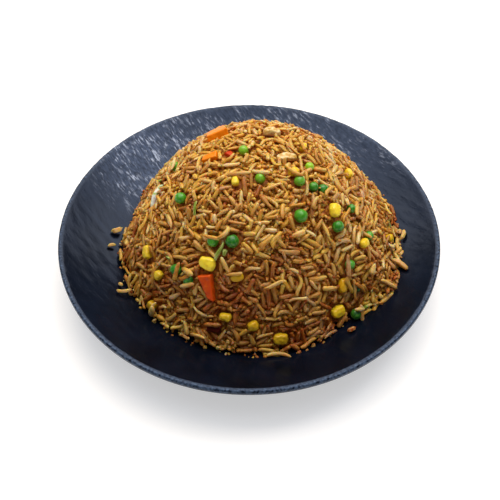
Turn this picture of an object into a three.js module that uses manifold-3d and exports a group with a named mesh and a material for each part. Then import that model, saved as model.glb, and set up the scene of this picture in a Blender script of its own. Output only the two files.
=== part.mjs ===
// Fried rice turned out as a round heap on a black plate with a slate-like finish.
// Millimetres, +Z up. The origin is on the table, under the middle of the plate.
// Bearings are in degrees, counted from +X towards +Y. The diner sits on the -Y side.

import * as THREE from 'three';
import { ConvexHull } from 'three/addons/math/ConvexHull.js';
import { mergeVertices } from 'three/addons/utils/BufferGeometryUtils.js';
import Module from 'manifold-3d';

// ---------------------------------------------------------------- driving dimensions

// Plate: a coupe plate, moulded with a low foot ring.
const PLATE_RADIUS = 120;
const PLATE_HEIGHT = 32;
const PLATE_THICKNESS = 4.2;
const PLATE_SIDES = 48;
const FLOOR_RADIUS = 45;
const FLOOR_HEIGHT = 10;
const RIM_BAND = 2.2;
const RIM_EDGE_HEIGHT = 3.4;
const RIM_ROUNDING = 0.6;
const WALL_CURVE = 1.7;
const WALL_STEPS = 6;
const UNDERSIDE_STEPS = 3;
const FOOT_INNER_RADIUS = 52;
const FOOT_OUTER_RADIUS = 58;
const FOOT_ROUNDING = 0.6;

// Heap: a bowl-shaped mound of loose grains, a little off the middle of the plate.
const HEAP_X = 6.5;
const HEAP_Y = 2.5;
const HEAP_RADIUS = 89;
const HEAP_BASE = 20;
const HEAP_RISE = 74.5;
const HEAP_ROUNDNESS = 2.55;
const HEAP_FALL = 1.05;
// Where the foot of the heap has slumped or been knocked in: bearing, half width, depth.
const HEAP_LOBES = [
  [-52, 12, -6],
  [-30, 9, 4],
  [165, 14, -4],
];
const CORE_DEPTH = 4;
const CORE_PITCH = 7.5;
const CORE_RELIEF = 1.3;
const CORE_LAST_RING = 0.955;
const CORE_FOOT_MARGIN = 0.02;
const CORE_BOTTOM_RINGS = [[0.82, 40], [0.55, 24], [0.25, 10]];

// Rice grains, long grain, cooked.
const GRAIN_LENGTHS = [9.5, 12.5];
const GRAIN_WIDTHS = [2.3, 2.8];
const GRAIN_SIDES = 4;
const GRAIN_BEND = 0.6;
const CURL_STEPS = 3;
const GRAIN_SINK = 0.06;
const GRAIN_TILT = 20;
const GRAIN_PITCH = 12.4;
const GRAIN_LAST_RING = 0.99;

// Toppings. A pea has shrunk a little flat, a kernel is a pillow with blunt corners, and a
// diced piece of carrot keeps its cut faces.
const PEA_FLATTENING = [0.86, 0.96];
const PEA_SIDES = 8;
const PEA_RINGS = 5;
const CORN_THICKNESS = 5.6;
const CORN_SQUARENESS = 0.6;
const CORN_TAPER = 0.24;
const CORN_SIDES = 8;
const CORN_RINGS = 4;
const CARROT_THICKNESS = 0.6;
const CARROT_BEVEL = 0.5;
const FLAKE_TAPER = 1.6;
const FLAKE_STEPS = [4, 2, 1];

// Each lies at a bearing and a share of the way from the axis to the foot. The last few of
// each kind carry the same mix round the far side.
// Peas: bearing, share, diameter.
const PEAS = [
  [150, 0.13, 6.4], [161, 0.65, 6.2], [-90, 0.19, 6.4], [-7, 0.33, 5.6], [-36, 0.31, 6.8],
  [-29.5, 0.387, 5.4], [-24.8, 0.443, 5.4], [-160, 0.56, 7.2], [-57, 0.5, 8.2], [-19, 0.64, 5.8],
  [-37, 0.63, 7.2], [-120, 0.61, 6.8], [-108, 0.58, 8], [-21.5, 0.785, 5.8],
  [-134, 0.8, 7.2], [-126, 0.81, 6.4], [-41, 0.81, 6.4], [-42.5, 0.91, 6], [-47, 1.02, 7],
  [68, 0.92, 6.6], [84, 0.84, 7.4], [104, 0.92, 7], [118, 0.87, 6.6],
];
// Sweetcorn: bearing, share, length, width, turn of the length away from straight downhill.
const CORN = [
  [-129, 0.26, 6.2, 5.4, 38], [25, 0.32, 6.6, 5, 55], [-29, 0.24, 7.6, 5.6, 50],
  [9, 0.62, 6.9, 5, 105], [-32, 0.555, 9.2, 8.6, 130], [-155, 0.85, 9.1, 6, 50],
  [-119, 0.71, 11, 9.4, 93], [-102, 0.73, 8.2, 6.4, 109], [-142, 0.87, 6.9, 6.2, 174],
  [-139, 0.98, 6.6, 6.2, 89], [-105, 0.89, 8, 5.7, 90], [-93, 0.91, 7.4, 6.9, 109],
  [-82, 0.96, 9.5, 8.4, 83], [-54, 0.96, 10, 8.6, 88], [-48, 0.88, 9.6, 6.4, 144],
  [-29, 0.765, 7, 6.2, 78], [-7, 0.93, 7.6, 6.2, 40],
  [76, 0.89, 8, 7, 20], [94, 0.93, 9, 7.4, 80], [111, 0.82, 7.6, 6.4, 130],
];
// Carrot: bearing, share, length, width, turn, and how much narrower the downhill end is.
const CARROTS = [
  [132, 0.44, 14, 9.6, 75, 0.9],
  [169, 0.36, 10.3, 6.2, 19, 0.8],
  [-115, 0.8, 16.5, 9, 33, 0.42],
  [-109, 0.94, 9.1, 6, 98, 0.8],
  [165, 0.22, 6.6, 4.8, 148, 0.6],
  [126, 0.94, 11, 7, 35, 0.8],
];
// Strips and flakes: name, bearing, share, length, width, thickness, turn, rise of their wave.
const FLAKES = [
  ['scallion_strip', 178, 0.74, 16, 3.4, 2.4, 49, 1],
  ['egg_flake_1', 74, 0.3, 10.8, 7, 3.6, 105, 0.8],
  ['egg_flake_2', 4, 0.18, 12.4, 6, 3, 9, 0.7],
];

// Grains fallen onto the plate: name, x, y, bearing of their length, length, width, and how
// far their ends curl aside.
const STRAYS = [
  ['stray_crumb', -85.3, 8.9, 24, 8.7, 4.2, 1.2],
  ['stray_grain_1', -87.7, -3.3, 17, 6.2, 2.8, -0.5],
  ['stray_grain_2', -76.5, -41.4, 6, 10.4, 2.8, 1.8],
  ['stray_grain_3', 60.7, -70.8, 30, 6.8, 3.2, 0.4],
  ['stray_grain_4', 98.6, 2, 73, 9, 3, 0.8],
  ['stray_bit', -79.4, -34.6, -34, 4.4, 2.6, 0],
];

const TOUCH_GAP = 0.3;
const FACET_GAP = 0.45;
const SHARE_STEP = 0.01;
const SEED = 20;

const COLOURS = {
  plate: 0x191d26,
  rice: 0xb98542,
  pea: 0x4fa32c,
  corn: 0xf0bc29,
  carrot: 0xe0601c,
  scallion_strip: 0xdfe3c2,
  egg_flake_1: 0xdcb784,
  egg_flake_2: 0xe3c27e,
  stray: 0xc79a55,
};

// ---------------------------------------------------------------- shared helpers

const manifold = await Module();
manifold.setup();

const random = THREE.MathUtils.seededRandom;
random(SEED);
const between = (low, high) => low + (high - low) * random();
const radians = THREE.MathUtils.degToRad;

const food = new THREE.Group();

function addMesh(name, geometry, colour, roughness) {
  const material = new THREE.MeshStandardMaterial({ color: colour, roughness, metalness: 0 });
  const mesh = new THREE.Mesh(geometry, material);
  mesh.name = name;
  food.add(mesh);
}

// Leaves only positions, with shared corners, so that the surface is closed. Faces with
// two corners in one place, as at the tip of a turned shape, are dropped.
function closed(geometry) {
  geometry.deleteAttribute('normal');
  geometry.deleteAttribute('uv');
  const merged = mergeVertices(geometry, 1e-4);
  const corners = merged.index.array;
  const index = [];
  for (let i = 0; i < corners.length; i += 3) {
    const [a, b, c] = corners.slice(i, i + 3);
    if (a !== b && b !== c && c !== a) {
      index.push(a, b, c);
    }
  }
  merged.setIndex(index);
  return merged;
}

function toSolid(geometry) {
  return new manifold.Manifold(new manifold.Mesh({
    numProp: 3,
    vertProperties: new Float32Array(geometry.attributes.position.array),
    triVerts: new Uint32Array(geometry.index.array),
  }));
}

function toGeometry(solid) {
  const mesh = solid.getMesh();
  const geometry = new THREE.BufferGeometry();
  geometry.setAttribute('position', new THREE.BufferAttribute(mesh.vertProperties, 3));
  geometry.setIndex(new THREE.BufferAttribute(mesh.triVerts, 1));
  return geometry;
}

function cornersOf(geometry) {
  const position = geometry.attributes.position;
  const corners = [];
  for (let i = 0; i < position.count; i += 1) {
    corners.push(new THREE.Vector3().fromBufferAttribute(position, i));
  }
  return corners;
}

// Moves every corner of a geometry by a function of that corner.
function reshape(geometry, move) {
  const position = geometry.attributes.position;
  cornersOf(geometry).forEach((corner, i) => {
    move(corner);
    position.setXYZ(i, corner.x, corner.y, corner.z);
  });
  return geometry;
}

// ---------------------------------------------------------------- plate

// Height of the upper face: a flat floor, then a wall that grows steeper to the rim.
function wallHeight(radius) {
  const span = PLATE_RADIUS - RIM_BAND - FLOOR_RADIUS;
  const share = Math.max(0, (radius - FLOOR_RADIUS) / span);
  return FLOOR_HEIGHT + (PLATE_HEIGHT - FLOOR_HEIGHT) * share ** WALL_CURVE;
}

function plateProfile() {
  const underFloor = FLOOR_HEIGHT - PLATE_THICKNESS;
  const rimInner = PLATE_RADIUS - RIM_BAND;
  const edgeBottom = PLATE_HEIGHT - RIM_EDGE_HEIGHT;
  const profile = [
    [0, underFloor],
    [FOOT_INNER_RADIUS, underFloor],
    [FOOT_INNER_RADIUS + FOOT_ROUNDING, 0],
    [FOOT_OUTER_RADIUS - FOOT_ROUNDING, 0],
    [FOOT_OUTER_RADIUS, FOOT_ROUNDING],
  ];
  for (let i = 0; i <= UNDERSIDE_STEPS; i += 1) {
    const share = i / UNDERSIDE_STEPS;
    const radius = THREE.MathUtils.lerp(FOOT_OUTER_RADIUS + FOOT_ROUNDING, rimInner, share);
    profile.push([radius, wallHeight(radius) - PLATE_THICKNESS]);
  }
  profile.push([PLATE_RADIUS, edgeBottom + RIM_ROUNDING]);
  profile.push([PLATE_RADIUS, PLATE_HEIGHT - RIM_ROUNDING]);
  profile.push([PLATE_RADIUS - RIM_ROUNDING, PLATE_HEIGHT]);
  for (let i = WALL_STEPS; i >= 0; i -= 1) {
    const radius = THREE.MathUtils.lerp(FLOOR_RADIUS, rimInner, i / WALL_STEPS);
    profile.push([radius, wallHeight(radius)]);
  }
  profile.push([0, FLOOR_HEIGHT]);
  return profile.map(([radius, height]) => new THREE.Vector2(radius, height));
}

function buildPlate() {
  const geometry = new THREE.LatheGeometry(plateProfile(), PLATE_SIDES);
  geometry.rotateX(Math.PI / 2);
  addMesh('plate', closed(geometry), COLOURS.plate, 0.4);
}

// ---------------------------------------------------------------- heap shape

function coreRadius(bearing) {
  let radius = HEAP_RADIUS - CORE_DEPTH;
  for (const [middle, halfWidth, depth] of HEAP_LOBES) {
    const away = THREE.MathUtils.euclideanModulo(bearing - middle + 180, 360) - 180;
    radius += depth * Math.exp(-((away / halfWidth) ** 2));
  }
  return radius;
}

// Height of the core under the loose grains, share 0 at the axis and 1 at the foot.
function coreHeight(share) {
  const rise = HEAP_RISE - CORE_DEPTH;
  return HEAP_BASE + rise * Math.max(0, 1 - share ** HEAP_ROUNDNESS) ** HEAP_FALL;
}

function corePoint(bearing, share) {
  const reach = coreRadius(bearing) * share;
  const x = HEAP_X + reach * Math.cos(radians(bearing));
  const y = HEAP_Y + reach * Math.sin(radians(bearing));
  return new THREE.Vector3(x, y, coreHeight(share));
}

// One step straight down the core at a place.
function stepDown(bearing, share) {
  const middle = THREE.MathUtils.clamp(share, 2 * SHARE_STEP, 1 - 2 * SHARE_STEP);
  return corePoint(bearing, middle + SHARE_STEP).sub(corePoint(bearing, middle - SHARE_STEP));
}

function levelAround(bearing) {
  return new THREE.Vector3(-Math.sin(radians(bearing)), Math.cos(radians(bearing)), 0);
}

// Outward direction of the core, square to the steps down and around it.
function coreNormal(bearing, share) {
  return stepDown(bearing, share).cross(levelAround(bearing)).normalize();
}

// Places about a pitch apart over the whole heap, in rings from the crown to the foot,
// each shifted at random by up to a third of the pitch.
function spread(pitch, lastShare) {
  const places = [];
  let share = pitch / 2 / HEAP_RADIUS;
  while (share < lastShare) {
    const count = Math.round((2 * Math.PI * share * HEAP_RADIUS) / pitch);
    const start = random() * 360;
    for (let i = 0; i < count; i += 1) {
      const bearing = start + ((i + between(-0.3, 0.3)) * 360) / count;
      const shift = (between(-0.3, 0.3) * pitch) / HEAP_RADIUS;
      places.push([bearing, Math.min(share + shift * (1 - share), lastShare)]);
    }
    share += (pitch / stepDown(0, share).length()) * 2 * SHARE_STEP;
  }
  return places;
}

// Stands a geometry on the core: its own +Z follows the slope's outward direction and its
// +X, before the turn, points straight downhill.
function standOnHeap(geometry, bearing, share, turn) {
  geometry.computeBoundingBox();
  const normal = coreNormal(bearing, share);
  const around = levelAround(bearing);
  const downhill = around.clone().cross(normal).normalize();
  const frame = new THREE.Matrix4().makeBasis(downhill, around, normal);
  frame.multiply(new THREE.Matrix4().makeRotationZ(radians(turn)));
  const lift = TOUCH_GAP - geometry.boundingBox.min.z;
  frame.setPosition(corePoint(bearing, share).addScaledVector(normal, lift));
  return geometry.applyMatrix4(frame);
}

// How far a geometry has to rise to clear the plate.
function sinkIntoPlate(geometry) {
  const depths = cornersOf(geometry).map(
    (corner) => wallHeight(Math.hypot(corner.x, corner.y)) + FACET_GAP - corner.z,
  );
  return Math.max(...depths);
}

function settle(geometry) {
  return geometry.translate(0, 0, Math.max(0, sinkIntoPlate(geometry)));
}

// ---------------------------------------------------------------- toppings

function peaGeometry(diameter) {
  const geometry = closed(new THREE.SphereGeometry(diameter / 2, PEA_SIDES, PEA_RINGS));
  return geometry.scale(1, 1, between(...PEA_FLATTENING));
}

// A kernel: a ball pushed out towards the corners of a block, and narrower at the end
// where it grew on the cob.
function cornGeometry(length, width) {
  const geometry = new THREE.SphereGeometry(1, CORN_SIDES, CORN_RINGS);
  geometry.rotateX(Math.PI / 2);
  const pushOut = (place) => Math.sign(place) * Math.abs(place) ** CORN_SQUARENESS;
  return reshape(closed(geometry), (corner) => {
    const along = pushOut(corner.x);
    const taper = 1 + (CORN_TAPER / 2) * (along - 1);
    corner.x = (along * length) / 2;
    corner.y = (pushOut(corner.y) * width * taper) / 2;
    corner.z = (pushOut(corner.z) * CORN_THICKNESS) / 2;
  });
}

// A diced carrot piece: a slanting block with its cut edges just blunted.
function carrotGeometry(length, width, narrowing) {
  const half = new THREE.Vector2(length / 2 - CARROT_BEVEL, width / 2 - CARROT_BEVEL);
  const outline = new THREE.Shape([
    new THREE.Vector2(-half.x, -half.y * 0.8),
    new THREE.Vector2(half.x * 0.7, -half.y * narrowing),
    new THREE.Vector2(half.x, half.y * 0.5 * narrowing),
    new THREE.Vector2(-half.x * 0.85, half.y),
  ]);
  const geometry = new THREE.ExtrudeGeometry(outline, {
    depth: width * CARROT_THICKNESS - 2 * CARROT_BEVEL,
    bevelThickness: CARROT_BEVEL,
    bevelSize: CARROT_BEVEL,
    bevelSegments: 1,
  });
  return closed(geometry);
}

// A strip or flake, waved along its length and with both faces split alike.
function flakeGeometry(length, width, thickness, rise) {
  const geometry = closed(new THREE.BoxGeometry(length, width, thickness, ...FLAKE_STEPS));
  return reshape(geometry, (corner) => {
    const along = corner.x / length;
    const across = corner.y / width;
    corner.y *= 1 - FLAKE_TAPER * along ** 2;
    corner.z += rise * (Math.cos(along * 2 * Math.PI) - 2 * across ** 2);
  });
}

// A grain lies along X, with both ends drooping by the bend and moved aside by the curl.
function grainGeometry(length, width, curl) {
  const shaft = length - width;
  const steps = curl === 0 ? 1 : CURL_STEPS;
  const geometry = closed(new THREE.CapsuleGeometry(width / 2, shaft, 1, GRAIN_SIDES, steps));
  geometry.rotateZ(-Math.PI / 2);
  return reshape(geometry, (corner) => {
    const end = ((2 * corner.x) / length) ** 2;
    corner.y += curl * end;
    corner.z -= GRAIN_BEND * end;
  });
}

function buildToppings() {
  PEAS.forEach(([bearing, share, diameter], i) => {
    const geometry = standOnHeap(peaGeometry(diameter), bearing, share, between(0, 360));
    addMesh(`pea_${i + 1}`, settle(geometry), COLOURS.pea, 0.4);
  });
  CORN.forEach(([bearing, share, length, width, turn], i) => {
    const geometry = standOnHeap(cornGeometry(length, width), bearing, share, turn);
    addMesh(`corn_${i + 1}`, settle(geometry), COLOURS.corn, 0.35);
  });
  CARROTS.forEach(([bearing, share, length, width, turn, narrowing], i) => {
    const geometry = standOnHeap(carrotGeometry(length, width, narrowing), bearing, share, turn);
    addMesh(`carrot_${i + 1}`, settle(geometry), COLOURS.carrot, 0.4);
  });
  FLAKES.forEach(([name, bearing, share, length, width, thickness, turn, rise]) => {
    const flake = flakeGeometry(length, width, thickness, rise);
    const geometry = standOnHeap(flake, bearing, share, turn);
    addMesh(name, settle(geometry), COLOURS[name], 0.5);
  });
}

// A fallen grain lies level, then rises or drops until it just clears the plate.
function buildStrays() {
  STRAYS.forEach(([name, x, y, bearing, length, width, curl]) => {
    const geometry = grainGeometry(length, width, curl);
    geometry.rotateZ(radians(bearing));
    geometry.translate(x, y, wallHeight(Math.hypot(x, y)));
    geometry.translate(0, 0, sinkIntoPlate(geometry));
    addMesh(name, geometry, COLOURS.stray, 0.5);
  });
}

// ---------------------------------------------------------------- rice

// Share of the way out at which the core meets the plate on a bearing, found by halving.
function footShare(bearing) {
  let low = 0.5;
  let high = 1;
  while (high - low > 1e-6) {
    const middle = (low + high) / 2;
    const point = corePoint(bearing, middle);
    if (point.z > wallHeight(Math.hypot(point.x, point.y)) + FACET_GAP) {
      low = middle;
    } else {
      high = middle;
    }
  }
  return low;
}

function onPlate(bearing, share) {
  const point = corePoint(bearing, share);
  point.z = wallHeight(Math.hypot(point.x, point.y)) + FACET_GAP;
  return point;
}

// Raises a bump on the core, except where a topping needs the place bare.
function bump(bearing, share, toppings) {
  const point = corePoint(bearing, share);
  const bare = toppings.some((sphere) => sphere.distanceToPoint(point) < CORE_PITCH);
  const height = bare ? 0 : between(0, CORE_RELIEF);
  return point.addScaledVector(coreNormal(bearing, share), height);
}

// The core's corners: bumps over the top, its foot where it meets the plate, and a few
// rings underneath that follow the plate.
function coreCorners(toppings) {
  const corners = spread(CORE_PITCH, CORE_LAST_RING)
    .filter(([bearing, share]) => share < footShare(bearing) - CORE_FOOT_MARGIN)
    .map(([bearing, share]) => bump(bearing, share, toppings));
  const footCount = Math.round((2 * Math.PI * HEAP_RADIUS) / CORE_PITCH);
  for (let i = 0; i < footCount; i += 1) {
    const bearing = (i * 360) / footCount;
    corners.push(onPlate(bearing, footShare(bearing)));
  }
  for (const [share, count] of CORE_BOTTOM_RINGS) {
    for (let i = 0; i < count; i += 1) {
      corners.push(onPlate(((i + between(-0.1, 0.1)) * 360) / count, share));
    }
  }
  corners.push(onPlate(0, 0));
  return corners;
}

// Joins the corners into one skin. Seen from a point inside, they all lie on a sphere,
// and the hull of that sphere says which corners are neighbours.
function coreGeometry(toppings) {
  const corners = coreCorners(toppings);
  const middle = new THREE.Vector3(HEAP_X, HEAP_Y, HEAP_BASE + HEAP_RISE / 4);
  const directions = corners.map((corner) => corner.clone().sub(middle).normalize());
  const indexOf = new Map(directions.map((direction, i) => [direction, i]));
  const index = [];
  for (const face of new ConvexHull().setFromPoints(directions).faces) {
    let edge = face.edge;
    do {
      index.push(indexOf.get(edge.head().point));
      edge = edge.next;
    } while (edge !== face.edge);
  }
  const geometry = new THREE.BufferGeometry().setFromPoints(corners);
  geometry.setIndex(index);
  return closed(geometry);
}

// One loose grain lying on the core, half sunk in it, with one end a little raised.
function looseGrain(bearing, share) {
  const width = between(...GRAIN_WIDTHS);
  const geometry = grainGeometry(between(...GRAIN_LENGTHS), width, 0);
  geometry.rotateY(radians(between(-GRAIN_TILT, GRAIN_TILT)));
  geometry.rotateZ(radians(between(0, 360)));
  const normal = coreNormal(bearing, share);
  const upright = new THREE.Vector3(0, 0, 1);
  geometry.applyQuaternion(new THREE.Quaternion().setFromUnitVectors(upright, normal));
  const place = corePoint(bearing, share).addScaledVector(normal, width * (0.5 - GRAIN_SINK));
  return geometry.translate(place.x, place.y, place.z);
}

// A topping or fallen grain, swollen by the gap that the rice keeps from it.
function keepOff(mesh) {
  mesh.geometry.computeBoundingSphere();
  const { center, radius } = mesh.geometry.boundingSphere;
  const swell = 1 + TOUCH_GAP / radius;
  const swollen = mesh.geometry.clone().translate(-center.x, -center.y, -center.z);
  swollen.scale(swell, swell, swell).translate(center.x, center.y, center.z);
  return toSolid(swollen);
}

// Where the heap is hollow a topping touches the core beside its own foot, so it is raised
// in small steps until it is clear.
function raiseOff(mesh, core) {
  while (!core.intersect(keepOff(mesh)).isEmpty()) {
    mesh.geometry.translate(0, 0, TOUCH_GAP / 3);
  }
}

function buildRice() {
  const neighbours = food.children.filter((mesh) => mesh.name !== 'plate');
  const spheres = neighbours.map((mesh) => {
    mesh.geometry.computeBoundingSphere();
    return mesh.geometry.boundingSphere;
  });
  const core = toSolid(coreGeometry(spheres));
  neighbours.forEach((mesh) => raiseOff(mesh, core));
  const keepOffs = neighbours.map(keepOff);
  const solids = [core];
  for (const [bearing, share] of spread(GRAIN_PITCH, GRAIN_LAST_RING)) {
    const grain = looseGrain(bearing, share);
    const solid = toSolid(grain);
    grain.computeBoundingSphere();
    const crosses = keepOffs.some((other, i) => (
      spheres[i].intersectsSphere(grain.boundingSphere) && !other.intersect(solid).isEmpty()
    ));
    if (!crosses && sinkIntoPlate(grain) < 0) {
      solids.push(solid);
    }
  }
  const pieces = manifold.Manifold.union(solids).decompose();
  const heap = pieces.reduce((best, piece) => (piece.volume() > best.volume() ? piece : best));
  addMesh('rice', toGeometry(heap), COLOURS.rice, 0.55);
}

buildPlate();
buildToppings();
buildStrays();
buildRice();

export default food;
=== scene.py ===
import math

import bmesh
import bpy
import numpy as np
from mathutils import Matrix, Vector, noise

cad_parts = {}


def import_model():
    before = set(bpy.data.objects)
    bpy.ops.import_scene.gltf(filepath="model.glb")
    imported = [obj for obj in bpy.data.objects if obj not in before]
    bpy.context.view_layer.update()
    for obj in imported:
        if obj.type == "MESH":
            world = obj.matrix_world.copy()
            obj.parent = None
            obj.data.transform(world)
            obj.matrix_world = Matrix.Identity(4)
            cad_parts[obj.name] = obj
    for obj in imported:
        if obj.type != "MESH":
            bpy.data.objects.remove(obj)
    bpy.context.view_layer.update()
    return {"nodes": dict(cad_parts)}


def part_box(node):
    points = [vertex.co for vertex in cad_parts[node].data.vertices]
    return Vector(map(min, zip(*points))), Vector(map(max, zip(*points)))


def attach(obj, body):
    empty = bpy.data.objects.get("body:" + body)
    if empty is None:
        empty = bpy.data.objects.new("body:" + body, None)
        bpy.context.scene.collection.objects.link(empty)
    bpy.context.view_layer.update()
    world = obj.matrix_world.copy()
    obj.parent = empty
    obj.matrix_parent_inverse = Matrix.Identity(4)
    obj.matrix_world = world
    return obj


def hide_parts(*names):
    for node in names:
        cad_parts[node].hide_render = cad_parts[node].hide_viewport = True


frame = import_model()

MM = 0.001

# ------------------------------------------------------------------ plate
# A coupe plate pressed in one piece from black melamine, with a low foot ring underneath.
# The mould gave its upper face the clefts of split slate, which all run one way, and use
# has chipped its rim. Melamine is hard and satin, so the clefts catch the light; glints and sheen are
# also painted on the wall and rim.

PLATE_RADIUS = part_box("plate")[1][0] / MM
PLATE_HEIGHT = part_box("plate")[1][2] / MM
PLATE_THICKNESS = 4.2
FLOOR_RADIUS = 45.0
FLOOR_HEIGHT = 10.0
WALL_CURVE = 1.7
RIM_BAND = 2.2
RIM_EDGE_HEIGHT = 3.4
RIM_ROUNDING = 0.6
FOOT_INNER_RADIUS = 52.0
FOOT_OUTER_RADIUS = 58.0
PLATE_STEPS_AROUND = 540
CLEFT_DEPTH = 0.15
CLEFT_LENGTH = 13.0
CLEFT_WIDTH = 3.6
CLEFT_BEARING = math.radians(-50)
# The relief is made of broad swells, long ridges and the steps where a layer broke off.
SWELL_SHARE, RIDGE_SHARE, STEP_SHARE = 0.5, 0.8, 0.7
MOST_CLEFT_RISE = 0.3
CLEFT_FADE = 3.0
CHIP_DEPTH = 0.45
CHIP_LENGTH = 3.0
# The place on the wall where painted glints and sheen are strongest, and where they start
# to fade round it and end.
SHEEN_PLACE = (-66 * MM, 72 * MM, 25 * MM)
SIDE_SHEEN = (10.0, 55.0)
# How far back on the plate a lighter painted sheen starts, and where it is full.
BACK_SHEEN = (40.0, 95.0)


def wall_height(radius):
    """Height in mm of the plate's upper face at a distance from its middle."""
    span = PLATE_RADIUS - RIM_BAND - FLOOR_RADIUS
    share = np.clip((np.asarray(radius) - FLOOR_RADIUS) / span, 0, None)
    return FLOOR_HEIGHT + (PLATE_HEIGHT - FLOOR_HEIGHT) * share**WALL_CURVE


def store(mesh, name, values):
    """Stores three or four numbers under a name at each point of a mesh."""
    values = np.asarray(values, dtype=np.float32)
    kind, field = {4: ("FLOAT_COLOR", "color"), 3: ("FLOAT_VECTOR", "vector")}[values.shape[-1]]
    mesh.attributes.new(name, kind, "POINT").data.foreach_set(field, values.ravel())


def make_piece(name, points, faces, looks=None):
    """A mesh object from points in mm and faces, with the looks of its points if given."""
    mesh = bpy.data.meshes.new(name)
    mesh.from_pydata((np.asarray(points) * MM).tolist(), [], faces)
    mesh.shade_smooth()
    if looks is not None:
        store(mesh, "looks", looks)
    piece = bpy.data.objects.new(name, mesh)
    bpy.context.scene.collection.objects.link(piece)
    return piece


def ring_faces(rows, steps):
    """Faces that join rows of points in rings, and close each end on one point. The two
    end points come after all the rings."""
    faces = []
    last = (rows - 1) * steps
    pole = rows * steps
    for low in range(0, last, steps):
        for i in range(steps):
            beside = (i + 1) % steps
            faces.append((low + i, low + beside, low + steps + beside, low + steps + i))
    for i in range(steps):
        beside = (i + 1) % steps
        faces += [(pole, beside, i), (pole + 1, last + i, last + beside)]
    return faces


def turned(profile, steps, first_pole, last_pole):
    """Points and faces of a profile of (radius, height) turned round Z between two poles."""
    angles = np.arange(steps) * 2 * math.pi / steps
    radius, height = np.asarray(profile).T
    rings = np.empty((len(profile), steps, 3))
    rings[..., 0] = radius[:, None] * np.cos(angles)
    rings[..., 1] = radius[:, None] * np.sin(angles)
    rings[..., 2] = height[:, None]
    points = np.vstack([rings.reshape(-1, 3), [[0, 0, first_pole]], [[0, 0, last_pole]]])
    return points, ring_faces(len(profile), steps)


def cleft_relief(x, y):
    """How far in mm split slate rises or falls at a place: long ridges with stepped sides."""
    along = x * math.cos(CLEFT_BEARING) + y * math.sin(CLEFT_BEARING)
    across = y * math.cos(CLEFT_BEARING) - x * math.sin(CLEFT_BEARING)
    place = Vector((along / CLEFT_LENGTH, across / CLEFT_WIDTH, 0))
    swell = noise.noise(place * 0.3)
    ridge = noise.fractal(place, 1.0, 2.1, 3)
    step = abs(noise.noise(place * 0.8 + Vector((7, 3, 1)))) ** 0.6
    return CLEFT_DEPTH * (SWELL_SHARE * swell + RIDGE_SHARE * ridge + STEP_SHARE * step)


def plate_profile():
    """The plate's outline from the middle of its underside, round the rim, to its floor."""
    under_floor = FLOOR_HEIGHT - PLATE_THICKNESS
    rim_inner = PLATE_RADIUS - RIM_BAND
    edge_bottom = PLATE_HEIGHT - RIM_EDGE_HEIGHT
    outline = [(radius, under_floor) for radius in np.linspace(8, FOOT_INNER_RADIUS - 1, 8)]
    # The foot ring: its inner side, its flat underside and its outer side.
    outline += [
        (FOOT_INNER_RADIUS, under_floor - 0.4), (FOOT_INNER_RADIUS + 0.6, 0.6),
        (FOOT_INNER_RADIUS + 1.4, 0), (FOOT_OUTER_RADIUS - 1.4, 0),
        (FOOT_OUTER_RADIUS - 0.3, 0.7), (FOOT_OUTER_RADIUS + 0.2, under_floor),
    ]
    for radius in np.linspace(FOOT_OUTER_RADIUS + 3, rim_inner - 1, 22):
        outline.append((radius, wall_height(radius) - PLATE_THICKNESS))
    # The rim: its thick upright edge and its rounded crest.
    outline += [
        (PLATE_RADIUS - 0.5, edge_bottom), (PLATE_RADIUS, edge_bottom + RIM_ROUNDING),
        (PLATE_RADIUS, PLATE_HEIGHT - 1.3), (PLATE_RADIUS - 0.12, PLATE_HEIGHT - 0.75),
        (PLATE_RADIUS - 0.45, PLATE_HEIGHT - 0.3), (PLATE_RADIUS - 1.0, PLATE_HEIGHT - 0.02),
        (PLATE_RADIUS - 1.5, PLATE_HEIGHT), (PLATE_RADIUS - 1.9, PLATE_HEIGHT - 0.14),
    ]
    for radius in np.linspace(rim_inner, 6, 88):
        outline.append((radius, wall_height(radius)))
    return outline


def paint(sheet_colour):
    """A linear colour from an sRGB hex value."""
    parts = [int(sheet_colour[i:i + 2], 16) / 255 for i in (1, 3, 5)]
    linear = [p / 12.92 if p <= 0.04045 else ((p + 0.055) / 1.055) ** 2.4 for p in parts]
    return (*linear, 1.0)


def feed(tree, source, socket):
    """Feeds a socket from an output, or from a node by the first output that it uses."""
    if isinstance(source, bpy.types.Node):
        source = next(output for output in source.outputs if output.enabled)
    tree.links.new(source, socket)


def add(tree, kind, inputs=None, stops=None, **settings):
    """Adds a shader node: its settings, its colour stops, each a position and an sRGB hex
    value, and for each of its inputs either a value or what feeds it."""
    made = tree.nodes.new("ShaderNode" + kind)
    for name, value in settings.items():
        setattr(made, name, value)
    for i, (position, colour) in enumerate(stops or []):
        ramp = made.color_ramp.elements
        stop = ramp[i] if i < len(ramp) else ramp.new(position)
        stop.position = position
        stop.color = paint(colour)
    for name, value in (inputs or {}).items():
        if isinstance(value, (bpy.types.Node, bpy.types.NodeSocket)):
            feed(tree, value, made.inputs[name])
        else:
            made.inputs[name].default_value = value
    return made


def new_material(name, **fixed):
    """A material with a principled shader, whose plain values are set on its own sockets."""
    material = bpy.data.materials.new(name)
    material.use_nodes = True
    tree = material.node_tree
    shader = tree.nodes["Principled BSDF"]
    for socket, value in fixed.items():
        shader.inputs[socket.replace("_", " ")].default_value = value
    return material, tree, shader


# Black melamine, IOR 1.5 to 1.6, satin from the mould. Its gloss changes from patch to
# patch.
melamine, tree, shader = new_material(
    "melamine_slate", IOR=1.5, Specular_IOR_Level=0.24, Specular_Tint=paint("#b8d0ff"),
)
place = add(tree, "TexCoord").outputs["Object"]


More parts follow.
